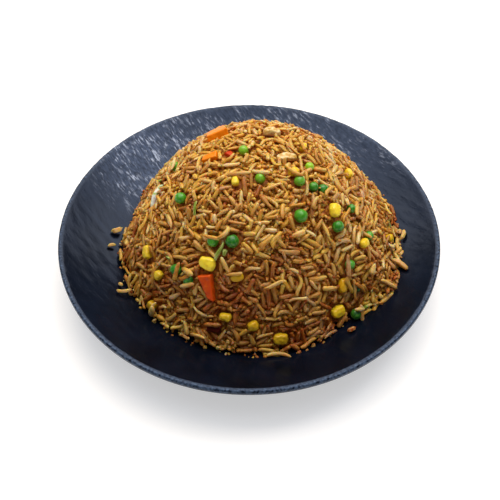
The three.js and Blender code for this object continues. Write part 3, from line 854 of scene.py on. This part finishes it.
def skin(map_x, map_y):
    """For places on the map: the point on the skin, and its downhill, sideways and outward
    directions, and how much a sideways step is stretched on the map."""
    way = np.hypot(map_x, map_y) + 1e-6
    bearing = np.arctan2(map_y, map_x)
    reach = np.interp(way, way_steps, share_steps) * heap_radius(bearing, 0.0)
    x, y = HEAP_X + reach * np.cos(bearing), HEAP_Y + reach * np.sin(bearing)
    z = skin_height(x, y)
    slope_x = (skin_height(x + SLOPE_STEP, y) - skin_height(x - SLOPE_STEP, y)) / (2 * SLOPE_STEP)
    slope_y = (skin_height(x, y + SLOPE_STEP) - skin_height(x, y - SLOPE_STEP)) / (2 * SLOPE_STEP)
    out = np.stack([-slope_x, -slope_y, np.ones_like(x)], axis=-1)
    out /= np.linalg.norm(out, axis=-1)[..., None]
    aside = np.stack([-np.sin(bearing), np.cos(bearing), np.zeros_like(x)], axis=-1)
    down = np.cross(aside, out)
    down /= np.linalg.norm(down, axis=-1)[..., None]
    return np.stack([x, y, z], axis=-1), down, np.cross(out, down), out, way / np.maximum(reach, 1e-6)


def cells(map_x, map_y):
    """The map cells that hold these places."""
    column = np.clip(((map_x + MAP_HALF) / CELL).astype(int), 0, MAP_CELLS - 1)
    row = np.clip(((map_y + MAP_HALF) / CELL).astype(int), 0, MAP_CELLS - 1)
    return column, row


# For each map cell: how far out of the skin the ground lies so far, and the level that the
# grains are kept to, which is lumpy.
centres = (np.arange(MAP_CELLS) + 0.5) * CELL - MAP_HALF
cell_x, cell_y = np.meshgrid(centres, centres, indexing="ij")
skin_points, _, _, skin_out, _ = skin(cell_x, cell_y)
over_plate = skin_points[..., 2] - wall_height(np.hypot(skin_points[..., 0], skin_points[..., 1]))
ground = -np.minimum(CORE_DEPTH, over_plate / skin_out[..., 2])
level = np.where(over_plate > FOOT_LIFT + FOOT_BAND, -LEVEL_DEPTH, FOOT_LEVEL)
lumps = np.array([
    [noise.fractal(Vector((i, j, 3)) * LUMP_STEP / LUMP_SIZE, 1.0, 2.0, 2) for j in range(LUMP_CELLS)]
    for i in range(LUMP_CELLS)
])
cells_a_lump = MAP_CELLS // LUMP_CELLS
level += LUMP_HEIGHT * lumps.repeat(cells_a_lump, axis=0).repeat(cells_a_lump, axis=1)


def to_map(points):
    """Where points near the heap lie on the map, and how far they stand out of the skin."""
    dx, dy = points[:, 0] - HEAP_X, points[:, 1] - HEAP_Y
    bearing = np.arctan2(dy, dx)
    reach = np.hypot(dx, dy)
    skin_reach = share_steps[None, :] * heap_radius(bearing, 0.0)[:, None]
    skin_rise = np.broadcast_to(HEAP_BASE + rise_steps[None, :], skin_reach.shape)
    gap = np.hypot(skin_reach - reach[:, None], skin_rise - points[:, 2, None])
    nearest = gap.argmin(axis=1)
    pick = np.arange(len(points))
    above_skin = points[:, 2] > skin_rise[pick, nearest]
    way = way_steps[nearest]
    return way * np.cos(bearing), way * np.sin(bearing), np.where(above_skin, 1, -1) * gap[pick, nearest]


def note_topping(piece, pressed_in):
    """Raises the ground to a topping, less how far a grain may press into it."""
    surface_points = np.array([vertex.co for vertex in piece.data.vertices]) / MM
    map_x, map_y, out = to_map(surface_points)
    column, row = cells(map_x, map_y)
    for i in (-1, 0, 1):
        for j in (-1, 0, 1):
            np.maximum.at(ground, (column + i, row + j), out - pressed_in)


for piece, pressed_in in PRESSED_IN:
    note_topping(piece, pressed_in)

# Grains lie lower round the toppings than elsewhere, so that the toppings show.
for node in nodes_of("pea") + nodes_of("corn") + nodes_of("carrot") + THIN_NODES:
    middle, mean_radius = solid_of(node)
    map_x, map_y, _ = to_map(middle[None, :])
    away = np.hypot(cell_x - map_x, cell_y - map_y)
    level[away < mean_radius + CLEAR_MARGIN] -= CLEAR_DEPTH

# The skin's area from the top down to just past the foot, for spreading grains evenly.
draw = np.random.default_rng(20)
area_so_far = np.concatenate([[0], np.cumsum(np.diff(way_steps) * share_steps[1:])])
laid_way = way_steps[np.searchsorted(share_steps, LAID_SHARE)]
laid_area = np.interp(laid_way, way_steps, area_so_far)

# Where on a grain it is tried against the ground, and where the ground rises to its top.
along_places = np.linspace(-1, 1, 9)
across_places = np.array([-0.9, -0.45, 0, 0.45, 0.9])
before, after = np.nonzero((along_places[:, None] < 0) & (along_places[None, :] > 0))
fill_along = np.linspace(-1, 1, 31)
fill_across = np.linspace(-1, 1, 9)


def spread(map_x, map_y, stretch, yaw, along, across):
    """Map places of points a way along and across a grain that lies on the skin."""
    way = np.hypot(map_x, map_y) + 1e-6
    out_x, out_y = map_x / way, map_y / way
    downhill = along * np.cos(yaw) - across * np.sin(yaw)
    sideways = (along * np.sin(yaw) + across * np.cos(yaw)) * stretch
    there_x = map_x + downhill * out_x - sideways * out_y
    there_y = map_y + downhill * out_y + sideways * out_x
    return cells(there_x, there_y)


def rest(map_x, map_y, stretch, yaw, length, width):
    """Where laid grains come to rest: how far out their middles are, and their slopes."""
    wide = [value[:, None, None] for value in (map_x, map_y, stretch, yaw, length, width)]
    radius = wide[5] / 2
    along = along_places[None, :, None] * (wide[4] / 2 - radius * 0.7)
    across = across_places[None, None, :] * radius
    lifted = ground[spread(*wide[:4], along, across)] + np.sqrt(radius**2 - across**2)
    touch = lifted.max(axis=2)
    reach = along[:, :, 0]
    gap = reach[:, after] - reach[:, before]
    bridge = (touch[:, before] * reach[:, after] - touch[:, after] * reach[:, before]) / gap
    best = bridge.argmax(axis=1)
    pick = np.arange(len(map_x))
    slope = ((touch[:, after] - touch[:, before]) / gap)[pick, best]
    return np.maximum(bridge[pick, best], touch[:, len(along_places) // 2]), slope


def fill(map_x, map_y, stretch, yaw, slope, out, length, width):
    """The map cells under a laid grain, and how far out its top is over each."""
    radius = width / 2
    along = fill_along[:, None] * length / 2 / math.hypot(1, slope)
    across = fill_across[None, :] * radius
    narrowing = (1 - np.abs(fill_along[:, None]) ** 3.2) * radius**2 - across**2
    top = out + along * slope + np.sqrt(np.clip(narrowing, 0, None))
    return spread(map_x, map_y, stretch, yaw, along, across), np.where(narrowing >= 0, top, NOWHERE)


def record(map_x, map_y, stretch, yaw, slope, out, length, width):
    """Keeps a laid grain and raises the ground to its top."""
    laid = (map_x, map_y, stretch, yaw, slope, out, length, width)
    under, top = fill(*laid)
    np.maximum.at(ground, under, top)
    grains.append(laid)


def settle(map_x, map_y, stretch, yaw, length, width):
    """Lets one grain come to rest at a map place, pressed in a little, and keeps it."""
    out, slope = rest(*[np.array([value]) for value in (map_x, map_y, stretch, yaw, length, width)])
    record(map_x, map_y, stretch, yaw, slope[0], out[0] - SINK, length, width)


def moved(map_x, map_y, downhill, sideways):
    """The map place that lies a way downhill and sideways of another."""
    way = math.hypot(map_x, map_y)
    return (map_x + (downhill * map_x - sideways * map_y) / way,
            map_y + (downhill * map_y + sideways * map_x) / way)


def anywhere(count):
    """Map places spread evenly over the heap's real skin."""
    way = np.interp(draw.uniform(0, laid_area, count), area_so_far, way_steps)
    bearing = draw.uniform(-math.pi, math.pi, count)
    return way * np.cos(bearing), way * np.sin(bearing)


def along_friend(tries):
    """Places and turns beside one of the last grains laid and nearly along it."""
    latest = max(0, len(grains) - FRIENDS)
    friend = grains[int(draw.integers(latest, len(grains)))]
    friend_x, friend_y, stretch, friend_yaw, *_, friend_width = friend
    yaw = friend_yaw + draw.normal(0, FRIEND_TURN, tries)
    step_along = draw.uniform(-FRIEND_SLIDE, FRIEND_SLIDE, tries)
    step_aside = draw.choice([-1, 1], tries) * draw.uniform(*FRIEND_ASIDE, tries) * friend_width
    downhill = step_along * math.cos(friend_yaw) - step_aside * math.sin(friend_yaw)
    sideways = (step_along * math.sin(friend_yaw) + step_aside * math.cos(friend_yaw)) * stretch
    return *moved(friend_x, friend_y, downhill, sideways), yaw


def lay(count, tries, lengths, proud, steepest, bundled):
    """Lays grains one by one, each at the lowest of several places tried, unless it is too
    steep, too proud of the level or past the foot. Some are tried beside a grain already
    laid, as sticky grains lie in bundles."""
    for _ in range(count):
        map_x, map_y = anywhere(tries)
        yaw = draw.uniform(-math.pi, math.pi, tries)
        if draw.uniform() < bundled and len(grains) > SINGLE_GRAINS:
            map_x, map_y, yaw = along_friend(tries)
        length = draw.triangular(*lengths, tries)
        width = draw.uniform(*GRAIN_WIDTH, tries)
        points, down, aside, out_way, stretch = skin(map_x, map_y)
        out, slope = rest(map_x, map_y, stretch, yaw, length, width)
        axis = down * np.cos(yaw)[:, None] + aside * np.sin(yaw)[:, None] + out_way * slope[:, None]
        axis /= np.linalg.norm(axis, axis=1)[:, None]
        middle = points + out_way * out[:, None]
        clear = np.abs(slope) < steepest
        for end in (-TIP, TIP):
            tip = middle + axis * (end * length)[:, None]
            plate_height = wall_height(np.hypot(tip[:, 0], tip[:, 1]))
            clear &= tip[:, 2] > plate_height + TIP_CLEARANCE * width
            tip_x, tip_y = tip[:, 0] - HEAP_X, tip[:, 1] - HEAP_Y
            foot = heap_radius(np.arctan2(tip_y, tip_x), 0.0)
            clear &= np.hypot(tip_x, tip_y) < foot + FOOT_SPILL
        over = np.where(clear, out - level[cells(map_x, map_y)], OUT_OF_REACH)
        pick = over.argmin()
        if over[pick] < proud:
            record(map_x[pick], map_y[pick], stretch[pick], yaw[pick], slope[pick],
                   out[pick] - SINK, length[pick], width[pick])


def stand(count):
    """Pushes grains on end into the heap, so that only their upper ends show."""
    map_x, map_y = anywhere(count)
    length = draw.triangular(*GRAIN_LENGTH, count)
    slope = draw.uniform(*STANDING_SLOPE, count)
    yaw = draw.uniform(-math.pi, math.pi, count)
    width = draw.uniform(*GRAIN_WIDTH, count)
    points, _, _, _, stretch = skin(map_x, map_y)
    out = draw.uniform(*STANDING_OUT, count) - length / 2 * slope / np.hypot(1, slope)
    for i in range(count):
        free = ground[cells(map_x[i:i + 1], map_y[i:i + 1])][0] < -STANDING_GAP
        if free and points[i, 2] > HEAP_BASE + STANDING_LOWEST:
            record(map_x[i], map_y[i], stretch[i], yaw[i], slope[i], out[i], length[i], width[i])


def cover(node, side):
    """Lays one grain across a side of a topping, square to the way out to that side."""
    middle, mean_radius = solid_of(node)
    map_x, map_y, _ = to_map(middle[None, :])
    _, down, aside, _, stretch = skin(map_x, map_y)
    outward = np.array([math.cos(math.radians(side)), math.sin(math.radians(side)), 0])
    turn = math.atan2(aside[0] @ outward, down[0] @ outward)
    width = draw.uniform(*GRAIN_WIDTH, 1)[0]
    length = draw.uniform(*GRAIN_LENGTH[1:], 1)[0]
    reach = COVER_REACH * mean_radius + width / 2
    spot = moved(map_x[0], map_y[0], reach * math.cos(turn), reach * math.sin(turn) * stretch[0])
    settle(*spot, stretch[0], turn + math.pi / 2 + draw.normal(0, COVER_TURN), length, width)


def put(bearing, share, turn, length, width):
    """Lays one grain at a place given on the heap."""
    bearing = math.radians(bearing)
    way = np.interp(share, share_steps, way_steps)
    map_x, map_y = way * math.cos(bearing), way * math.sin(bearing)
    *_, stretch = skin(np.array([map_x]), np.array([map_y]))
    settle(map_x, map_y, stretch[0], math.radians(turn), length, width)


# A full bed of grains comes first, then some on end, loose ones on top, and broken bits.
grains = []
lay(3900, tries=20, lengths=GRAIN_LENGTH, proud=-1.3, steepest=0.8, bundled=0.2)
stand(STANDING_GRAINS)
lay(7000, tries=3, lengths=GRAIN_LENGTH, proud=1.3, steepest=0.6, bundled=0.35)
lay(1500, tries=25, lengths=BIT_LENGTH, proud=0.2, steepest=0.8, bundled=0.0)
for node, sides in COVERED_SIDES.items():
    for side in sides:
        cover(node, side)
for *form, _, _ in MARKED_GRAINS:
    put(*form)
for form in GREEN_SHREDS:
    put(*form)
shred_table = np.array(grains[-len(GREEN_SHREDS):])
del grains[-len(GREEN_SHREDS):]

# Grains that later ones have hidden are left out.
shown = []
for grain in grains:
    under, top = fill(*grain)
    shown.append(np.mean(top > ground[under] - 0.05))
shown[-len(MARKED_GRAINS):] = [1.0] * len(MARKED_GRAINS)
grain_table = np.array(grains)[np.array(shown) > LEAST_SHOWN]


def scatter_crumbs(count, tries):
    """Table of small broken bits, each in the lowest of several places tried."""
    table = []
    for _ in range(count):
        map_x, map_y = anywhere(tries)
        height = ground[cells(map_x, map_y)]
        pick = (height - level[cells(map_x, map_y)]).argmin()
        *_, stretch = skin(map_x[pick:pick + 1], map_y[pick:pick + 1])
        length = draw.uniform(*CRUMB_LENGTH)
        width = length * draw.uniform(*CRUMB_ROUNDNESS)
        yaw = draw.uniform(-math.pi, math.pi)
        slope = draw.uniform(-CRUMB_SLOPE, CRUMB_SLOPE)
        table.append((map_x[pick], map_y[pick], stretch[0], yaw, slope,
                      height[pick] + CRUMB_LIFT * width, length, width))
    return np.array(table)


def shaped(table, rings, sides, bend):
    """Points of laid grains, each grain's own coordinates in mm, how deep each point lies,
    the grains' middles and one grain's faces."""
    map_x, map_y, _, yaw, slope, out, length, width = table.T
    count = len(table)
    points, down, aside, out_way, _ = skin(map_x, map_y)
    middles = points + out_way * out[:, None]
    ahead = down * np.cos(yaw)[:, None] + aside * np.sin(yaw)[:, None] + out_way * slope[:, None]
    ahead /= np.linalg.norm(ahead, axis=1)[:, None]
    beside = np.cross(out_way, ahead)
    beside /= np.linalg.norm(beside, axis=1)[:, None]
    above = np.cross(ahead, beside)

    # Each grain is rolled over, flattened, bent and twisted in its own way.
    turn = draw.normal(0, ROLL, count)
    side_axis = beside * np.cos(turn)[:, None] + above * np.sin(turn)[:, None]
    thin_axis = above * np.cos(turn)[:, None] - beside * np.sin(turn)[:, None]
    thin_axis *= draw.uniform(*GRAIN_FLATTENING, count)[:, None]
    curve_way = draw.uniform(0, 2 * math.pi, count)
    curve = draw.beta(1.2, 2.6, count) * bend * length
    twist = draw.normal(0, 0.25 * bend, count) * length
    curve_axis = beside * np.cos(curve_way)[:, None] + above * (0.4 * np.sin(curve_way))[:, None]
    taper = draw.uniform(-TAPER, TAPER, count)
    blunt = draw.uniform(*BLUNTNESS, count)

    # Its rings follow its bent middle line, narrow to its ends and are uneven.
    u = np.concatenate([[-1.0], rings, [1.0]])[None, :]
    ring_radius = (1 - np.abs(u) ** blunt[:, None]) ** 0.5 * (1 + taper[:, None] * u)
    ring_radius = ring_radius * (1 + draw.normal(0, UNEVEN_GIRTH, ring_radius.shape))
    ring_radius = ring_radius * width[:, None] / 2
    centre_line = (
        middles[:, None, :]
        + ahead[:, None, :] * (u * length[:, None] / 2)[..., None]
        - curve_axis[:, None, :] * (u**2 * curve[:, None] + (u**3 - u) * 2.6 * twist[:, None])[..., None]
    )
    angles = np.arange(sides) * 2 * math.pi / sides
    cosine, sine = np.cos(angles)[None, None, :], np.sin(angles)[None, None, :]
    cross = side_axis[:, None, None, :] * cosine[..., None]
    cross = cross + thin_axis[:, None, None, :] * sine[..., None]
    inner = ring_radius[:, 1:-1, None]
    body = (centre_line[:, 1:-1, None, :] + cross * inner[..., None]).reshape(count, -1, 3)
    tips = centre_line[:, [0, -1], :]

    # Its own coordinates lie far from the others', so that no two grains crease alike.
    own = np.zeros((count, len(rings), sides, 3))
    own[..., 0] = (rings[None, :] * length[:, None] / 2)[..., None]
    own[..., 1] = inner * cosine
    own[..., 2] = inner * sine
    own_tips = np.zeros((count, 2, 3))
    own_tips[..., 0] = np.outer(length, [-0.5, 0.5])
    own = np.concatenate([own.reshape(count, -1, 3), own_tips], axis=1)
    own += draw.uniform(-500, 500, (count, 1, 3))

    # How far each point lies under the skin.
    all_points = np.concatenate([body, tips], axis=1)
    lift = np.einsum("gvk,gk->gv", all_points - points[:, None, :], out_way)
    depth = np.clip((-SHADE_START - lift) / SHADE_DEPTH, 0, 1)
    one_grain = [face[::-1] for face in ring_faces(len(rings), sides)]
    return all_points, own, depth, middles, one_grain


def soy_and_shade_at(middles, unevenness):
    """How far soy and painted shade darken grains: low down, at the front, and in soy patches."""
    patches = np.array([
        noise.fractal(Vector(middle) / SOY_PATCH_SIZE, 1.0, 2.0, 3) for middle in middles
    ])
    low_down = np.clip((SOY_AND_SHADE_TOP - middles[:, 2]) / (SOY_AND_SHADE_TOP - SOY_AND_SHADE_BOTTOM), 0, 1)
    from_front = np.hypot(middles[:, 0] - SOY_AND_SHADE_FRONT_PLACE[0], middles[:, 1] - SOY_AND_SHADE_FRONT_PLACE[1])
    at_front = np.exp(-from_front**2 / SOY_AND_SHADE_FRONT_REACH**2)
    uneven = draw.normal(0, unevenness, len(middles))
    share = SOY_LEAST + SOY_AND_SHADE_LOW * low_down + SOY_AND_SHADE_FRONT * at_front + SOY_PATCHY * patches + uneven
    return np.clip(share, 0, 1)


def looks_table(points, tone, soy_and_shade, browned, depth):
    """The looks of each point of each grain: paleness, soy and shade, browned ends and depth."""
    looks = np.ones((*points.shape[:2], 4))
    for i, values in enumerate((tone, soy_and_shade, browned, depth)):
        looks[..., i] = values
    return looks


def grain_piece(name, points, own, looks, one_grain, material):
    """Grains joined into one object, with their looks and their own coordinates."""
    base = (np.arange(len(points)) * points.shape[1])[:, None]
    faces = []
    for face in one_grain:
        faces += (base + np.array(face)[None, :]).tolist()
    piece = make_piece(name, points.reshape(-1, 3), faces, looks.reshape(-1, 4))
    store(piece.data, "own_place", own)
    piece.data.materials.append(material)
    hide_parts("rice")
    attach(piece, "root")


def along_grain(tree, length, width):
    """The place along and across each grain: one unit is a length by a width in mm."""
    own = add(tree, "Attribute", attribute_name="own_place").outputs["Vector"]
    scale = (1 / length, 1 / width, 1 / width)
    return add(tree, "Mapping", {"Vector": own, "Scale": scale})


# Fried long grain rice, IOR about 1.4: a half-clear starchy body with a film of oil. Soy stains
# some grains through and darkens their ends. Painted shade darkens grains low down and at the
# front together with the soy, and fills the gaps between them with a warm brown.
rice_grain, tree, shader = new_material(
    "fried_rice_grain", IOR=1.4, Specular_IOR_Level=0.42,
    Subsurface_Weight=0.75, Subsurface_Scale=3.0 * MM, Subsurface_Radius=(1.0, 0.45, 0.12),
)
place = add(tree, "TexCoord").outputs["Object"]
stored = add(tree, "Attribute", attribute_name="looks").outputs
paleness, soy_and_shade, ends = add(tree, "SeparateColor", {"Color": stored["Color"]}).outputs[:3]
creases = add(tree, "TexNoise", {
    "Vector": along_grain(tree, 6.0, 0.9), "Scale": 1, "Detail": 3, "Roughness": 0.6,
})
swing = add(tree, "MapRange", {
    "Value": creases, "From Min": 0.25, "From Max": 0.75, "To Min": -0.4, "To Max": 0.4,
})
streaked = add(tree, "Math", {0: paleness, 1: swing}, operation="ADD")
plain = add(tree, "ValToRGB", {"Fac": streaked}, stops=[
    (0.0, "#b6842a"), (0.3, "#cda23e"), (0.7, "#cfac60"), (1.0, "#d6c08c"),
])
blotch = add(tree, "TexNoise", {
    "Vector": place, "Scale": 1 / (2.4 * MM), "Detail": 5, "Roughness": 0.65,
})
# Soy and painted shade darken grains towards brown, in blotches.
soy_and_shade_blotches = add(tree, "Math", {0: soy_and_shade, 1: blotch}, operation="MULTIPLY")
soy_and_shade_share = add(tree, "MapRange", {"Value": soy_and_shade_blotches, "From Min": 0.1, "From Max": 0.5})
darkened = add(tree, "Mix", {0: soy_and_shade_share, 6: plain, 7: paint("#8c4610")}, data_type="RGBA")
half_browned = add(tree, "Math", {0: ends, 1: 0.5}, operation="MULTIPLY")
tipped = add(tree, "Mix", {0: half_browned, 6: darkened, 7: paint("#a8621e")}, data_type="RGBA")
# Painted shade in the gaps: points deep under the skin take a warm brown gap colour.
gap = add(tree, "Mix", {0: soy_and_shade, 6: paint("#de9424"), 7: paint("#94400c")}, data_type="RGBA")
painted_gap_shade = add(tree, "Math", {0: stored["Alpha"], 1: 0.85}, operation="MULTIPLY")
shaded_in_gaps = add(tree, "Mix", {0: painted_gap_shade, 6: tipped, 7: gap}, data_type="RGBA")
feed(tree, shaded_in_gaps, shader.inputs["Base Color"])
film = add(tree, "MapRange", {"Value": blotch, "To Min": 0.28, "To Max": 0.5})
feed(tree, film, shader.inputs["Roughness"])
relief = add(tree, "Bump", {"Height": creases, "Strength": 0.6, "Distance": 0.3 * MM})
feed(tree, relief, shader.inputs["Normal"])

points, own, depth, middles, one_grain = shaped(grain_table, GRAIN_RINGS, GRAIN_SIDES, bend=0.2)
tone = draw.beta(2.6, 2.6, len(points))
soy_and_shade = soy_and_shade_at(middles, unevenness=0.16)
tone[-len(MARKED_GRAINS):] = [marked[5] * MARKED_TONE for marked in MARKED_GRAINS]
soy_and_shade[-len(MARKED_GRAINS):] = [marked[6] + MARKED_SOY for marked in MARKED_GRAINS]

# Soy has browned one end of many grains.
one_end = np.concatenate([np.repeat(GRAIN_RINGS, GRAIN_SIDES), [-1, 1]])
browned = np.clip(0.3 + draw.normal(0, 0.4, (len(points), 1)) + one_end[None, :], 0, 1) ** 2
looks = looks_table(points, tone[:, None], soy_and_shade[:, None], browned, depth)
kinds = np.digitize(soy_and_shade + KIND_TONE * (0.5 - tone), KIND_LIMITS)
for kind, name in enumerate(("pale_grains", "golden_grains", "amber_grains", "soy_and_shade_grains")):
    chosen = kinds == kind
    grain_piece(name, points[chosen], own[chosen], looks[chosen], one_grain, rice_grain)

# Crumbs fill the gaps between the grains, a little browner than they are.
points, own, depth, middles, one_crumb = shaped(
    scatter_crumbs(CRUMBS, tries=4), CRUMB_RINGS, CRUMB_SIDES, bend=0.05,
)
tone = draw.uniform(0, 1, (len(points), 1))
soy_and_shade = np.clip(soy_and_shade_at(middles, unevenness=0.25) + 0.2, 0, 1)[:, None]
browned = draw.uniform(0, 1, (len(points), 1)) ** 2
looks = looks_table(points, tone, soy_and_shade, browned, depth)
grain_piece("crumbs", points, own, looks, one_crumb, rice_grain)

# Spring onion leaf cooked limp, IOR about 1.4: dull green, paler along its ribs.
limp_leaf, tree, shader = new_material(
    "limp_onion_leaf", IOR=1.4, Roughness=0.4, Specular_IOR_Level=0.3,
)
ribs = add(tree, "TexNoise", {
    "Vector": along_grain(tree, 6.0, 0.6), "Scale": 1, "Detail": 3,
})
leaf = add(tree, "ValToRGB", {"Fac": ribs}, stops=[
    (0.35, "#5a7818"), (0.5, "#8a9a34"), (0.66, "#c4c07a"),
])
feed(tree, leaf, shader.inputs["Base Color"])
relief = add(tree, "Bump", {"Height": ribs, "Strength": 0.5, "Distance": 0.2 * MM})
feed(tree, relief, shader.inputs["Normal"])
points, own, _, _, one_shred = shaped(shred_table, GRAIN_RINGS, GRAIN_SIDES, bend=0.25)
looks = looks_table(points, 1, 1, 1, 1)
grain_piece("green_shreds", points, own, looks, one_shred, limp_leaf)

# ------------------------------------------------------------------ fallen grains
# A few grains and a crumb that rolled off the heap onto the plate. They are of the same
# rice, and one of them fell from where the soy was poured.

STRAY_ROUNDING = 2
STRAY_DENTS = {"depth": 0.1, "size": 1.5}
STRAY_PALENESS = 0.7
STRAY_SOY = {"stray_grain_3": 0.9}
LIGHT_SOY = 0.25

strays = [name for name in frame["nodes"] if name.startswith("stray")]
fallen = merged("fallen_grains", [
    refined(f"fallen_{node}", node, STRAY_ROUNDING, **STRAY_DENTS,
            looks=(STRAY_PALENESS, STRAY_SOY.get(node, LIGHT_SOY), 0, 0))
    for node in strays
], rice_grain)
store(fallen.data, "own_place", np.array([vertex.co for vertex in fallen.data.vertices]) / MM)
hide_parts(*strays)
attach(fallen, "root")

# ------------------------------------------------------------------ studio
# A pale seamless floor, a large soft box overhead and a little behind, a small one at the
# side, and a camera that looks down at the plate as a diner does.

CAMERA_DISTANCE = 0.6
CAMERA_ELEVATION = math.radians(49.5)
LOOK_POINT = Vector((0.00053, -0.0168, PLATE_HEIGHT * MM))
FOCAL_PIXELS = 967.0
IMAGE_PIXELS = 500.0
LIT_POINT = Vector((0, 0, 0.04))
DOME_STRENGTH = 1.9
PAPER_SIZE = 40
# The paper lies just under the foot ring, so that the two don't meet.
PAPER_HEIGHT = -0.0002

camera_data = bpy.data.cameras.new("camera")
camera_data.sensor_width = 36.0
camera_data.lens = camera_data.sensor_width * FOCAL_PIXELS / IMAGE_PIXELS
camera = bpy.data.objects.new("camera", camera_data)
bpy.context.scene.collection.objects.link(camera)
way_back = Vector((0, -math.cos(CAMERA_ELEVATION), math.sin(CAMERA_ELEVATION)))
camera.location = LOOK_POINT + CAMERA_DISTANCE * way_back
camera.rotation_euler = way_back.to_track_quat("Z", "Y").to_euler()
bpy.context.scene.camera = camera


def soft_box(name, place, size, power, colour):
    """A square area light that faces the plate."""
    lamp = bpy.data.lights.new(name, "AREA")
    lamp.shape = "SQUARE"
    lamp.size = size
    lamp.energy = power
    lamp.color = paint(colour)[:3]
    holder = bpy.data.objects.new(name, lamp)
    bpy.context.scene.collection.objects.link(holder)
    holder.location = place
    holder.rotation_euler = (Vector(place) - LIT_POINT).to_track_quat("Z", "Y").to_euler()


soft_box("key_box", (0.0, 0.42, 0.95), 1.0, 10.8, "#fff2de")
soft_box("side_box", (0.55, 0.2, 0.9), 0.25, 1.6, "#f4f7ff")

# A dome of light, bright overhead and dim round the sides.
world = bpy.data.worlds.new("studio")
world.use_nodes = True
tree = world.node_tree
all_round = add(tree, "TexCoord").outputs["Generated"]
way_up = add(tree, "VectorMath", {0: all_round, 1: (0, 0.2, 0.98)}, operation="DOT_PRODUCT")
dome = add(tree, "ValToRGB", {"Fac": way_up}, stops=[
    (0.0, "#26282c"), (0.4, "#3e4048"), (0.72, "#5c606c"), (0.9, "#e4ecfa"), (1.0, "#f4f8ff"),
])
background = tree.nodes["Background"]
feed(tree, dome, background.inputs["Color"])
background.inputs["Strength"].default_value = DOME_STRENGTH
bpy.context.scene.world = world
bpy.context.scene.view_settings.view_transform = "Standard"

# White seamless paper: matte, and lifted a little so that it stays pale all over.
bpy.ops.mesh.primitive_plane_add(size=PAPER_SIZE, location=(0, 0, PAPER_HEIGHT))
floor = bpy.context.object
floor.name = "floor"
seamless, tree, shader = new_material(
    "seamless_paper", Roughness=0.8, IOR=1.4, Base_Color=paint("#ccc8c3"),
    Emission_Color=paint("#ffffff"), Emission_Strength=0.5,
)
floor.data.materials.append(seamless)
